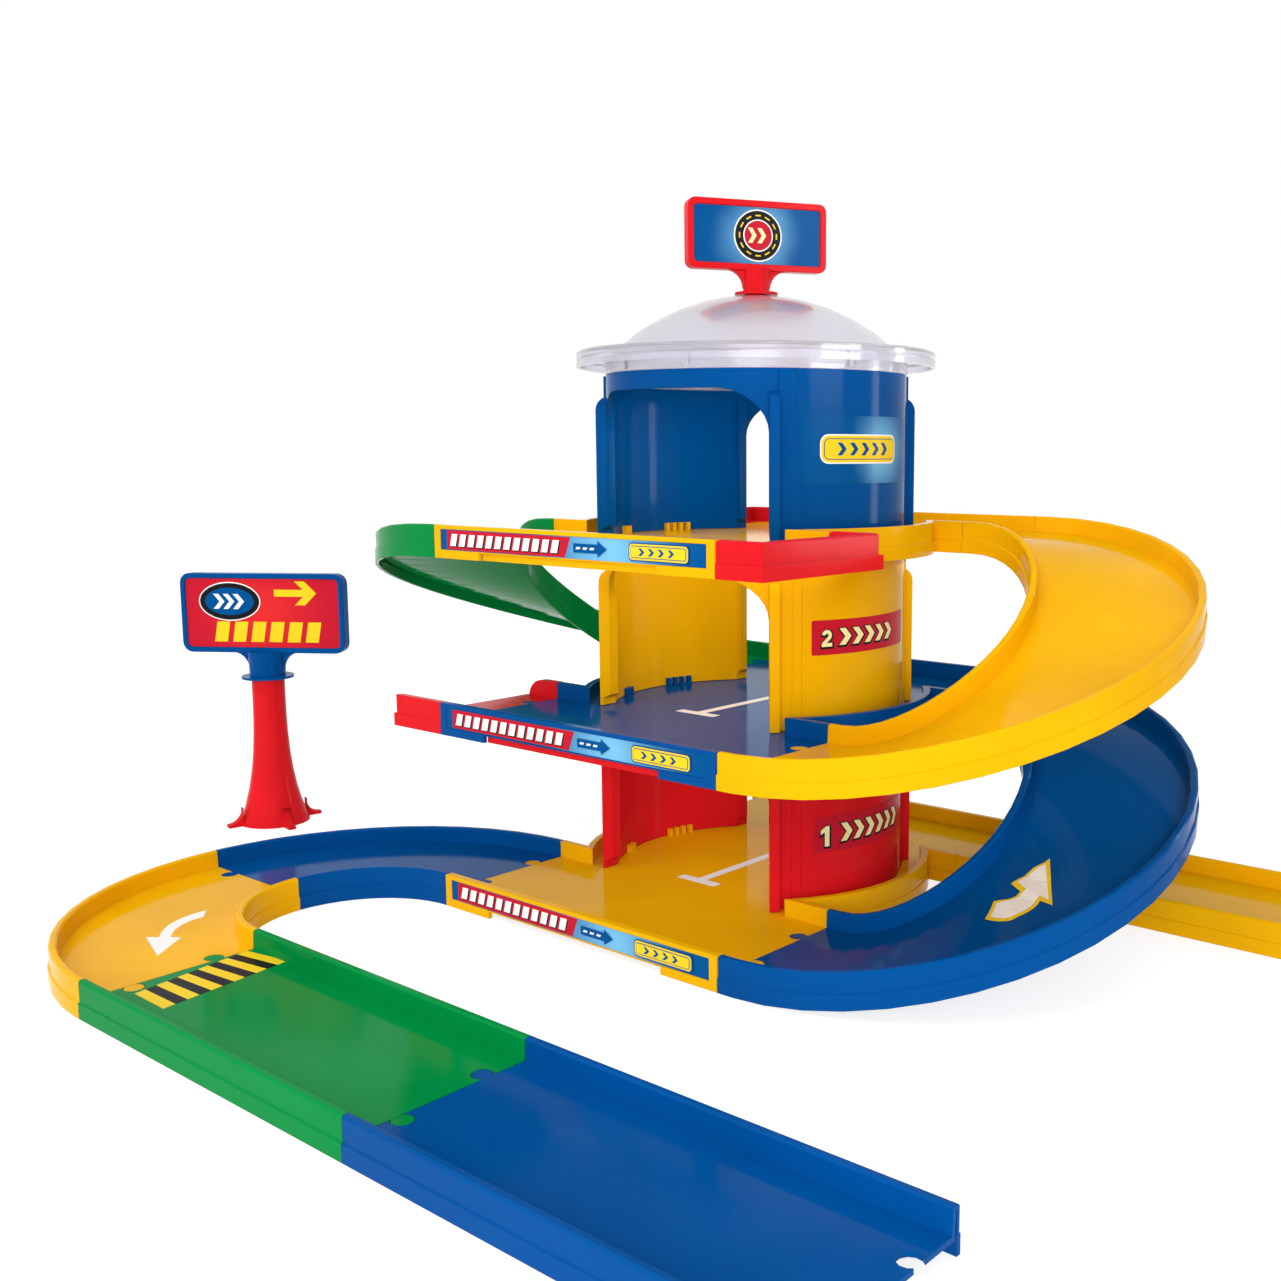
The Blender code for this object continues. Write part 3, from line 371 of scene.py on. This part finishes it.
def settle(obj, name, material, body):
    """Applies a piece's place to its mesh, names it and hands it to its body."""
    activate(obj)
    bpy.ops.object.transform_apply(location=True, rotation=True, scale=True)
    obj.name = name
    obj.data.name = name
    obj.data.materials.clear()
    obj.data.materials.append(material)
    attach(obj, body)
    return obj


def film(outline, lift=0.0):
    """A thin flat sheet cut to an outline, lying on the XY plane at a height."""
    bpy.ops.curve.primitive_nurbs_path_add(location=(0, 0, 0))
    obj = bpy.context.object
    curve = obj.data
    curve.splines.clear()
    curve.dimensions = "2D"
    curve.fill_mode = "BOTH"
    curve.extrude = VINYL / 2
    spline = curve.splines.new("POLY")
    spline.points.add(len(outline) - 1)
    for vertex, (x, y) in zip(spline.points, outline):
        vertex.co = (x, y, 0, 1)
    spline.use_cyclic_u = True
    activate(obj)
    bpy.ops.object.convert(target="MESH")
    obj = bpy.context.object
    obj.location = (0, 0, lift + VINYL / 2)
    bpy.ops.object.transform_apply(location=True)
    bpy.ops.object.mode_set(mode="EDIT")
    bpy.ops.mesh.select_all(action="SELECT")
    bpy.ops.mesh.remove_doubles(threshold=SAME_PLACE)
    bpy.ops.mesh.normals_make_consistent(inside=False)
    bpy.ops.object.mode_set(mode="OBJECT")
    return obj


def stand(obj, azimuth, place):
    """Stands a flat sheet up: its X runs along the azimuth, its Y up and its face outwards."""
    obj.matrix_world = (
        Matrix.Translation(place)
        @ Matrix.Rotation(math.radians(azimuth), 4, "Z")
        @ Matrix.Rotation(math.radians(90), 4, "X")
    )
    return obj


def slice_sheet(obj, pitch):
    """Cuts a flat sheet across its length at a pitch, so that it can follow a curved wall."""
    xs = [corner[0] for corner in obj.bound_box]
    activate(obj)
    bpy.ops.object.mode_set(mode="EDIT")
    position = min(xs) + pitch
    while position < max(xs):
        bpy.ops.mesh.select_all(action="SELECT")
        bpy.ops.mesh.bisect(plane_co=(position, 0, 0), plane_no=(1, 0, 0))
        position += pitch
    bpy.ops.object.mode_set(mode="OBJECT")
    return obj


def wrap(obj, azimuth, height):
    """Wraps a flat sheet round the tower. Its X becomes the way round and its Y the height."""
    radius = DRUM + STICKER_GAP
    slice_sheet(obj, WRAP_PITCH)
    for vertex in obj.data.vertices:
        turn = math.radians(azimuth) + vertex.co.x / radius
        reach = radius + vertex.co.z
        vertex.co = (reach * math.cos(turn), reach * math.sin(turn), height + vertex.co.y)
    return obj


def arc(x, y, radius, start, end, steps=6):
    """Points round a centre from one angle to another."""
    points = []
    for index in range(steps + 1):
        turn = math.radians(start + (end - start) * index / steps)
        points.append((x + radius * math.cos(turn), y + radius * math.sin(turn)))
    return points


def rounded(width, height, corner, x=0.0, y=0.0):
    """Outline of a rectangle with rounded corners about a point."""
    right, top = width / 2 - corner, height / 2 - corner
    return (
        arc(x + right, y - top, corner, -90, 0)
        + arc(x + right, y + top, corner, 0, 90)
        + arc(x - right, y + top, corner, 90, 180)
        + arc(x - right, y - top, corner, 180, 270)
    )


def block(x, y, width, height, lean):
    """Outline of a slanted block that starts at x and has its middle at height y."""
    right, bottom, top = x + width, y - height / 2, y + height / 2
    return [(x, bottom), (right, bottom), (right + lean, top), (x + lean, top)]


def chevron(x, y, width, height, stroke):
    """Outline of one V-shaped road chevron that points along +X."""
    half = height / 2
    return [
        (x, y - half),
        (x + stroke, y - half),
        (x + stroke + width, y),
        (x + stroke, y + half),
        (x, y + half),
        (x + width, y),
    ]


def row(shape, starts, *values):
    """One sheet of like shapes that start at several places along X."""
    return fuse([film(shape(start, *values)) for start in starts])


def straight_arrow(x, y, length, head, shaft):
    """Outline of a plain arrow that points along +X from its tail."""
    tip = x + length
    neck = tip - head * 0.8
    return [
        (x, y - shaft / 2),
        (neck, y - shaft / 2),
        (neck, y - head / 2),
        (tip, y),
        (neck, y + head / 2),
        (neck, y + shaft / 2),
        (x, y + shaft / 2),
    ]


def line_arrow(x, y, length, head, shaft, barb):
    """Outline of an arrow of plain strokes, with an open head, about its middle."""
    tip = x + length / 2
    tail = x - length / 2
    back = barb * math.sqrt(2)
    return [
        (tail, y - shaft / 2),
        (tip - back - shaft / 2, y - shaft / 2),
        (tip - back - head / 2, y - head / 2),
        (tip - head / 2, y - head / 2),
        (tip, y),
        (tip - head / 2, y + head / 2),
        (tip - back - head / 2, y + head / 2),
        (tip - back - shaft / 2, y + shaft / 2),
        (tail, y + shaft / 2),
    ]


def oval(width, height, x=0.0, y=0.0, steps=48):
    """Outline of an ellipse about a point."""
    turns = [2 * math.pi * index / steps for index in range(steps)]
    return [(x + width / 2 * math.cos(turn), y + height / 2 * math.sin(turn)) for turn in turns]


def curve(start, pull, end, steps=8):
    """Points from start to end on a curve that leans towards a third point."""
    start, pull, end = Vector(start), Vector(pull), Vector(end)
    points = []
    for index in range(steps + 1):
        part = index / steps
        points.append(tuple(start.lerp(pull, part).lerp(pull.lerp(end, part), part)))
    return points


def in_mm(points):
    """Points given in millimetres, in metres."""
    return [(x / 1000, y / 1000) for x, y in points]


def numeral_one(height, x, y):
    """Outline of a bold 1 about a point. Its points are parts of its height."""
    stem = [(-0.08, -0.5), (0.17, -0.5), (0.17, 0.5), (-0.02, 0.5)]
    flag = [(-0.30, 0.30), (-0.30, 0.08), (-0.08, 0.22)]
    shape = stem[1:] + flag + stem[:1]
    return [(x + height * across, y + height * up) for across, up in shape]


def numeral_two(height, x, y):
    """Outline of a bold 2 about a point. Its points are parts of its height."""
    foot = [(-0.35, -0.5), (0.35, -0.5), (0.35, -0.28), (-0.02, -0.28)]
    bowl = arc(0, 0.17, 0.33, -38, 172, 12)
    hollow = arc(0, 0.17, 0.11, 172, -38, 8)
    shape = foot + bowl + hollow + [(-0.35, -0.30)]
    return [(x + height * across, y + height * up) for across, up in shape]


def grow(outline, distance):
    """An outline moved outwards by a distance, for borders. The outline is closed."""
    following = outline[1:] + outline[:1]
    area = sum(x * next_y - next_x * y for (x, y), (next_x, next_y) in zip(outline, following))
    sign = 1 if area > 0 else -1
    grown = []
    for index, point in enumerate(outline):
        here = Vector(point)
        before = (here - Vector(outline[index - 1])).normalized()
        after = (Vector(following[index]) - here).normalized()
        out_before = Vector((before.y, -before.x)) * sign
        out_after = Vector((after.y, -after.x)) * sign
        middle = (out_before + out_after).normalized()
        stretch = 1 / max(middle.dot(out_before), 1 / LONGEST_CORNER)
        grown.append(tuple(here + middle * distance * stretch))
    return grown


def shifted(outline, across, up):
    """An outline moved sideways and up."""
    return [(x + across, y + up) for x, y in outline]


def fuse(objects):
    """Joins like pieces into one object."""
    activate(objects[0])
    for obj in objects:
        obj.select_set(True)
    bpy.ops.object.join()
    return bpy.context.object


def drape(obj, node):
    """Lets a flat sheet down onto a sloping deck and leaves it lying just above the deck."""
    activate(obj)
    bpy.ops.object.mode_set(mode="EDIT")
    for axis in range(2):
        values = [corner[axis] for corner in obj.bound_box]
        position = min(values) + DRAPE_PITCH
        while position < max(values):
            plane = (1, 0, 0) if axis == 0 else (0, 1, 0)
            bpy.ops.mesh.select_all(action="SELECT")
            bpy.ops.mesh.bisect(plane_co=[position * part for part in plane], plane_no=plane)
            position += DRAPE_PITCH
    bpy.ops.object.mode_set(mode="OBJECT")
    deck = bpy.data.objects[node + "_moulding"]
    for vertex in obj.data.vertices:
        lift = vertex.co.z
        hit, place, _, _ = deck.ray_cast((vertex.co.x, vertex.co.y, 1.0), (0, 0, -1))
        if hit:
            vertex.co.z = place.z + lift
    return obj


def stack(prefix, body, layers, place):
    """Stacks sheets, each one film above the last, and puts them in their place."""
    for level, (word, sheet, material) in enumerate(layers):
        for vertex in sheet.data.vertices:
            vertex.co.z += level * VINYL
        place(sheet)
        settle(sheet, f"{prefix}_{word}", material, body)


def stack_upright(prefix, body, layers, turn, place):
    """Stacks sheets on an upright face."""
    stack(prefix, body, layers, lambda sheet: stand(sheet, turn, place))


def stack_round(prefix, layers, azimuth, height):
    """Stacks sheets round the tower."""
    stack(prefix, "garage", layers, lambda sheet: wrap(sheet, azimuth, height))


def ink(name):
    return bpy.data.materials["ink_" + name]


def settings():
    scene = bpy.context.scene
    return scene.garage_plastics, scene.garage_prints, scene.garage_stage


def facing(turn):
    """The way that a face looks when its X runs along an azimuth."""
    return Vector((math.sin(math.radians(turn)), -math.cos(math.radians(turn)), 0))


def aim(lamp, place, target):
    """Turns a lamp at a place towards a target."""
    way = target - Vector(place)
    lamp.rotation_euler = way.to_track_quat("-Z", "Y").to_euler()


class GARAGE_OT_plastics(Operator):
    """Mix the moulded plastics and the printing inks"""

    bl_idname = "garage.plastics"
    bl_label = "Plastics and inks"

    def execute(self, context):
        plastics, prints, _ = settings()
        for name in ("yellow", "blue", "red", "green"):
            colour = tuple(getattr(plastics, name))
            moulded_plastic("moulded_" + name, colour, plastics.gloss, plastics.edge)
        frosted_plastic("moulded_clear", tuple(plastics.clear), plastics.edge)
        for name in ("white", "signal", "cream", "black", "crimson", "navy"):
            printed_vinyl("ink_" + name, tuple(getattr(prints, name)))
        return {"FINISHED"}


class GARAGE_OT_mouldings(Operator):
    """Give every solid a merged, smoothly shaded moulding in its plastic"""

    bl_idname = "garage.mouldings"
    bl_label = "Mouldings"

    def execute(self, context):
        plastics, _, _ = settings()
        for entry in frame["record"]["subparts"]:
            node, slot = entry["node"], entry["material_slot"]
            solid = frame["nodes"][node]
            moulding = bpy.data.objects.new(node + "_moulding", solid.data.copy())
            context.scene.collection.objects.link(moulding)
            activate(moulding)
            bpy.ops.mesh.customdata_custom_splitnormals_clear()
            bpy.ops.object.mode_set(mode="EDIT")
            bpy.ops.mesh.select_all(action="SELECT")
            bpy.ops.mesh.remove_doubles(threshold=SAME_PLACE)
            bpy.ops.object.mode_set(mode="OBJECT")
            bpy.ops.object.shade_smooth_by_angle(angle=plastics.crease)
            material = bpy.data.materials["moulded_" + slot.removesuffix("_plastic")]
            settle(moulding, node + "_moulding", material, body_of(solid)[0])
            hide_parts(node)
        return {"FINISHED"}


class GARAGE_OT_deck_markings(Operator):
    """Lay the bay lines on the two lower decks"""

    bl_idname = "garage.deck_markings"
    bl_label = "Deck markings"

    def execute(self, context):
        bay = in_mm(
            [
                (-18.5, -51.7),
                (10.5, -51.7),
                (10.5, -45.3),
                (-1.0, -45.3),
                (-1.0, 46.0),
                (-7.0, 46.0),
                (-7.0, -45.3),
                (-18.5, -45.3),
            ]
        )
        for level, slot in enumerate(("yellow_plastic", "blue_plastic")):
            height = level * STOREY + DECK
            settle(film(bay, height), f"bay_line_{level + 1}", ink("white"), "garage")
        return {"FINISHED"}


class GARAGE_OT_hazard_bars(Operator):
    """Paint the slanted hazard bars on the green straight"""

    bl_idname = "garage.hazard_bars"
    bl_label = "Hazard bars"

    def execute(self, context):
        count = 11
        left_near, left_far = Vector((-0.0922, -0.3410)), Vector((-0.1035, -0.2782))
        right_near, right_far = Vector((-0.0648, -0.3414)), Vector((-0.0747, -0.2728))
        left = [left_near.lerp(left_far, k / count) for k in range(count + 1)]
        right = [right_near.lerp(right_far, k / count) for k in range(count + 1)]
        for word, first in (("signal", 0), ("black", 1)):
            bars = [
                film([left[k], right[k], right[k + 1], left[k + 1]], DECK)
                for k in range(first, count, 2)
            ]
            settle(fuse(bars), f"hazard_{word}", ink(word), "garage")
        return {"FINISHED"}


class GARAGE_OT_road_arrows(Operator):
    """Lay the bent arrows on the yellow bend and the blue ramp"""

    bl_idname = "garage.road_arrows"
    bl_label = "Road arrows"

    def execute(self, context):
        bend = in_mm(
            curve((-178.0, -258.4), (-179.7, -281.7), (-156.7, -296.1))
            + [(-162.0, -300.4), (-131.5, -309.8), (-147.7, -288.8)]
            + curve((-152.0, -292.3), (-169.9, -281.3), (-168.9, -265.1))
        )
        settle(film(bend, DECK), "bend_arrow", ink("white"), "garage")
        climb = in_mm(
            curve((196.5, -61.3), (217.0, -66.0), (217.3, -44.6))
            + [(225.7, -47.7), (205.8, -13.7), (194.9, -33.4)]
            + curve((203.0, -38.4), (201.5, -46.8), (192.5, -46.3))
        )
        border = 0.0022
        for word, outline, lift in (
            ("signal", climb, 0.0003),
            ("white", grow(climb, -border), 0.0007),
        ):
            sheet = drape(film(outline, lift), "ramp_blue")
            settle(sheet, f"ramp_arrow_{word}", ink(word), "garage")
        return {"FINISHED"}


class GARAGE_OT_curb_stickers(Operator):
    """Stick the printed strips on the front curbs"""

    bl_idname = "garage.curb_stickers"
    bl_label = "Curb stickers"

    def execute(self, context):
        _, prints, _ = settings()
        blocks = [-0.0900 + 0.0074 * index for index in range(12)]
        block_size = (0.0048, 0.0066, 0.0018)
        shadows = [start + 0.0007 for start in blocks]
        plate = 0.068
        chevrons = [plate + across for across in (-0.0130, -0.0065, 0, 0.0065)]
        dashes = (0.0105, 0.0155, 0.0205)
        inset, middle = 0.0005, 0.0104
        for level, slot in enumerate(("yellow_plastic", "blue_plastic", "yellow_plastic")):
            place = Vector((0, FRONT + inset, level * STOREY + middle))
            glow = glowing_print(
                f"curb_glow_{level + 1}",
                tuple(prints.azure),
                tuple(prints.navy),
                place + Vector((0.0335, 0, 0)),
                0.070,
            )
            band = in_mm([(-92.8, -5.15), (1.8, -5.15), (6.0, 5.15), (-92.8, 5.15)])
            layers = (
                ("base", film(rounded(0.1968, 0.0112, 0.0006)), glow),
                ("band", film(band), ink("crimson")),
                ("shadows", row(block, shadows, -0.0006, *block_size), ink("black")),
                ("blocks", row(block, blocks, 0, *block_size), ink("white")),
                ("arrow", film(straight_arrow(0.0086, 0, 0.024, 0.0082, 0.0046)), ink("navy")),
                ("dashes", row(block, dashes, 0, 0.0028, 0.0011, 0.0006), ink("white")),
                ("plate", film(rounded(0.0398, 0.0090, 0.0024, plate)), ink("navy")),
                ("field", film(rounded(0.0386, 0.0078, 0.0020, plate)), ink("signal")),
                ("line", film(rounded(0.0366, 0.0060, 0.0014, plate)), ink("navy")),
                ("inner", film(rounded(0.0358, 0.0052, 0.0010, plate)), ink("signal")),
                ("chevrons", row(chevron, chevrons, 0, 0.0022, 0.0036, 0.0020), ink("navy")),
            )
            stack_upright(f"curb_{level + 1}", "garage", layers, 0, place)
        return {"FINISHED"}


class GARAGE_OT_drum_stickers(Operator):
    """Wrap the level plates and the blue plate round the tower"""

    bl_idname = "garage.drum_stickers"
    bl_label = "Tower stickers"

    def execute(self, context):
        _, prints, _ = settings()
        one = numeral_one(0.0115, -0.0331, -0.0010)
        two = numeral_two(0.0092, -0.0314, -0.0004)
        # Azimuth, height, sticker's height, numeral, chevrons' height and their count
        levels = (
            ("level_1", "red_plastic", -2.6, 0.0485, 0.0200, one, 0.0104, 6),
            ("level_2", "yellow_plastic", -3.9, 0.15855, 0.0191, two, 0.0092, 5),
        )
        for prefix, slot, azimuth, height, tall, numeral, mark_height, count in levels:
            starts = [-0.0235 + 0.0092 * index for index in range(count)]
            bold = [numeral] + [chevron(x, 0, 0.0040, mark_height, 0.0042) for x in starts]
            borders = [shifted(grow(mark, 0.0009), 0.0003, -0.0004) for mark in bold]
            layers = (
                ("field", film(rounded(0.081, tall, 0.0010)), ink("crimson")),
                ("outlines", fuse([film(border) for border in borders]), ink("black")),
                ("marks", fuse([film(mark) for mark in bold]), ink("cream")),
            )
            stack_round(prefix, layers, azimuth, height)
        plate_azimuth, plate_height, glow_turn = -4.8, 0.2595, math.radians(3)
        centre = Vector((DRUM * math.cos(glow_turn), DRUM * math.sin(glow_turn), plate_height))
        glow = glowing_print("drum_glow", tuple(prints.azure), tuple(prints.navy), centre, 0.036)
        middle = (-0.00505, 0.00045)
        chevrons = [middle[0] + 0.0082 * index - 0.0030 for index in range(-2, 3)]
        layers = (
            ("field", film(rounded(0.094, 0.0361, 0.0010)), glow),
            ("outline", film(rounded(0.0594, 0.0157, 0.0050, *middle)), ink("white")),
            ("plate", film(rounded(0.0578, 0.0141, 0.0044, *middle)), ink("signal")),
            ("line", film(rounded(0.0550, 0.0113, 0.0032, *middle)), ink("navy")),
            ("inner", film(rounded(0.0541, 0.0104, 0.0028, *middle)), ink("signal")),
            ("chevrons", row(chevron, chevrons, middle[1], 0.0030, 0.0068, 0.0030), ink("navy")),
        )
        stack_round("drum", layers, plate_azimuth, plate_height)
        return {"FINISHED"}


class GARAGE_OT_top_sign_prints(Operator):
    """Print both faces of the sign on the lid"""

    bl_idname = "garage.top_sign_prints"
    bl_label = "Top sign prints"

    def execute(self, context):
        _, prints, _ = settings()
        half_height, face_depth = 0.0195, 0.00285
        middle = Vector((0, 0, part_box("top_sign")[1].z - half_height))
        azure, navy = tuple(prints.azure), tuple(prints.navy)
        glow = glowing_print("top_sign_glow", azure, navy, middle, 0.036)
        dash = [(-0.0016, 0.0108), (0.0016, 0.0108), (0.0016, 0.0116), (-0.0016, 0.0116)]
        chevron_starts = (-0.0062, -0.0005)
        for side, turn in (("front", 58.9), ("back", 238.9)):
            dashes = []
            for index in range(12):
                spin = Matrix.Rotation(math.radians(30 * index), 2)
                dashes.append(film([spin @ Vector(point) for point in dash]))
            layers = (
                ("field", film(rounded(0.0766, 0.0316, 0.0020)), glow),
                ("edge", film(oval(0.0292, 0.0292)), ink("white")),
                ("road", film(oval(0.0276, 0.0276)), ink("black")),
                ("dashes", fuse(dashes), ink("signal")),
                ("island_edge", film(oval(0.0180, 0.0180)), ink("white")),
                ("island", film(oval(0.0166, 0.0166)), ink("crimson")),
                ("chevrons", row(chevron, chevron_starts, 0, 0.0026, 0.0084, 0.0026), ink("cream")),
            )
            place = middle + facing(turn) * face_depth
            stack_upright(f"top_sign_{side}", "top_sign", layers, turn, place)
        return {"FINISHED"}


class GARAGE_OT_road_sign_prints(Operator):
    """Print both faces of the road sign"""

    bl_idname = "garage.road_sign_prints"
    bl_label = "Road sign prints"

    def execute(self, context):
        _, prints, _ = settings()
        half_height, face_depth = 0.0275, 0.00335
        middle = SIGN_POST + Vector((0, 0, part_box("road_sign_head")[1].z - half_height))
        scarlet, crimson = tuple(prints.scarlet), tuple(prints.crimson)
        glow = glowing_print("road_sign_glow", scarlet, crimson, middle, 0.060)
        badge = (-0.0230, 0.0080)
        arrow = line_arrow(0.0238, 0.0140, 0.0300, 0.0165, 0.0048, 0.0050)
        block_starts = [0.0130 * index - 0.0350 for index in range(6)]
        block_size = (0.0092, 0.0140, 0.0024)
        chevron_starts = (-0.0345, -0.0275, -0.0205)
        chevron_size = (0.0044, 0.0104, 0.0036)
        for side, turn in (("front", 33.8), ("back", 213.8)):
            layers = (
                ("field", film(rounded(0.1086, 0.0476, 0.0032)), glow),
                ("arrow", film(arrow), ink("signal")),
                ("blocks", row(block, block_starts, -0.0130, *block_size), ink("signal")),
                ("badge_edge", film(oval(0.0440, 0.0270, *badge)), ink("white")),
                ("badge", film(oval(0.0424, 0.0254, *badge)), ink("black")),
                ("disc", film(oval(0.0350, 0.0190, *badge)), ink("navy")),
                ("chevrons", row(chevron, chevron_starts, badge[1], *chevron_size), ink("white")),
            )
            place = middle + facing(turn) * face_depth
            prefix = f"road_sign_{side}"
            stack_upright(prefix, "road_sign_head", layers, turn, place)
        return {"FINISHED"}


class GARAGE_OT_stage(Operator):
    """Set up floor, lights and camera"""

    bl_idname = "garage.stage"
    bl_label = "Stage"

    def execute(self, context):
        _, _, stage = settings()
        deselect()
        bpy.ops.mesh.primitive_plane_add(size=8, location=(0, 0, -0.0002))
        floor = bpy.context.object
        floor.name = "studio_floor"
        material, nodes, links, shader = new_material("studio_floor")
        socket(shader, "Base Color", (*stage.floor, 1))
        socket(shader, "Roughness", 0.7)
        white = add_node(nodes, "ShaderNodeEmission", Strength=FLOOR_GLOW)
        mix = add_node(nodes, "ShaderNodeMixShader")
        share = add_node(nodes, "ShaderNodeMath", operation="MULTIPLY")
        share.inputs[1].default_value = GLOW_SHARE
        links.new(shows_backdrop(nodes, links), share.inputs[0])
        links.new(share.outputs["Value"], mix.inputs["Fac"])
        links.new(shader.outputs["BSDF"], mix.inputs[1])
        links.new(white.outputs["Emission"], mix.inputs[2])
        links.new(mix.outputs["Shader"], nodes["Material Output"].inputs["Surface"])
        floor.data.materials.append(material)
        world = bpy.data.worlds.new("studio_world")
        context.scene.world = world
        world.use_nodes = True
        tree = world.node_tree
        background = tree.nodes["Background"]
        background.inputs["Color"].default_value = (1, 1, 1, 1)
        background.inputs["Strength"].default_value = stage.world
        seen = add_node(tree.nodes, "ShaderNodeBackground", Strength=1.0)
        seen.inputs["Color"].default_value = (1, 1, 1, 1)
        choose = add_node(tree.nodes, "ShaderNodeMixShader")
        tree.links.new(shows_backdrop(tree.nodes, tree.links), choose.inputs["Fac"])
        tree.links.new(background.outputs["Background"], choose.inputs[1])
        tree.links.new(seen.outputs["Background"], choose.inputs[2])
        tree.links.new(choose.outputs["Shader"], tree.nodes["World Output"].inputs["Surface"])
        for name, place, size, setting, part in LAMPS:
            bpy.ops.object.light_add(type="AREA", location=place)
            lamp = bpy.context.object
            lamp.name = name + "_light"
            lamp.data.size = size
            lamp.data.energy = getattr(stage, setting) * part
            lamp.visible_glossy = False
            aim(lamp, place, LAMP_TARGET)
        for level, (span, part) in enumerate(STOREY_LAMPS):
            ceiling = (level + 1) * STOREY - CEILING_GAP
            bpy.ops.object.light_add(type="AREA", location=(0, -0.02, ceiling))
            lamp = bpy.context.object
            lamp.name = f"storey_light_{level + 1}"
            lamp.data.size = span
            lamp.data.energy = stage.storey * part
            lamp.visible_camera = False
            lamp.visible_glossy = False
        for name, place, width, height in GLEAMS:
            bpy.ops.object.light_add(type="AREA", location=place)
            lamp = bpy.context.object
            lamp.name = name
            lamp.data.shape = "RECTANGLE"
            lamp.data.size = width
            lamp.data.size_y = height
            lamp.data.energy = stage.gleam * width * height
            lamp.visible_diffuse = False
            aim(lamp, place, Vector((0, 0, place[2] - 0.1)))
        bpy.ops.object.camera_add(location=CAMERA_PLACE)
        camera = bpy.context.object
        camera.name = "photo_camera"
        camera.rotation_euler = [math.radians(angle) for angle in CAMERA_TURN]
        camera.data.sensor_width = SENSOR_WIDTH
        camera.data.lens = stage.lens
        camera.data.shift_x, camera.data.shift_y = CAMERA_SHIFT
        camera.data.clip_start = 0.01
        context.scene.camera = camera
        context.scene.view_settings.view_transform = "Standard"
        return {"FINISHED"}


OPERATORS = (
    GARAGE_OT_plastics,
    GARAGE_OT_mouldings,
    GARAGE_OT_deck_markings,
    GARAGE_OT_hazard_bars,
    GARAGE_OT_road_arrows,
    GARAGE_OT_curb_stickers,
    GARAGE_OT_drum_stickers,
    GARAGE_OT_top_sign_prints,
    GARAGE_OT_road_sign_prints,
    GARAGE_OT_stage,
)


class GARAGE_PT_panel(Panel):
    """Lists the garage's settings and steps"""

    bl_idname = "GARAGE_PT_panel"
    bl_label = "Toy Parking Garage"
    bl_space_type = "VIEW_3D"
    bl_region_type = "UI"
    bl_category = "Garage"

    def draw(self, context):
        for group in settings():
            box = self.layout.box()
            for name in group.bl_rna.properties.keys():
                if name not in ("rna_type", "name"):
                    box.prop(group, name)
        for operator in OPERATORS:
            self.layout.operator(operator.bl_idname)


GROUPS = (
    (GaragePlastics, "garage_plastics"),
    (GaragePrints, "garage_prints"),
    (GarageStage, "garage_stage"),
)


def register():
    for group, name in GROUPS:
        bpy.utils.register_class(group)
        setattr(bpy.types.Scene, name, PointerProperty(type=group))
    for operator in OPERATORS:
        bpy.utils.register_class(operator)
    bpy.utils.register_class(GARAGE_PT_panel)


def unregister():
    bpy.utils.unregister_class(GARAGE_PT_panel)
    for operator in reversed(OPERATORS):
        bpy.utils.unregister_class(operator)
    for group, name in reversed(GROUPS):
        delattr(bpy.types.Scene, name)
        bpy.utils.unregister_class(group)


def main():
    register()
    bpy.ops.garage.plastics()
    bpy.ops.garage.mouldings()
    bpy.ops.garage.deck_markings()
    bpy.ops.garage.hazard_bars()
    bpy.ops.garage.road_arrows()
    bpy.ops.garage.curb_stickers()
    bpy.ops.garage.drum_stickers()
    bpy.ops.garage.top_sign_prints()
    bpy.ops.garage.road_sign_prints()
    bpy.ops.garage.stage()


if __name__ == "__main__":
    main()
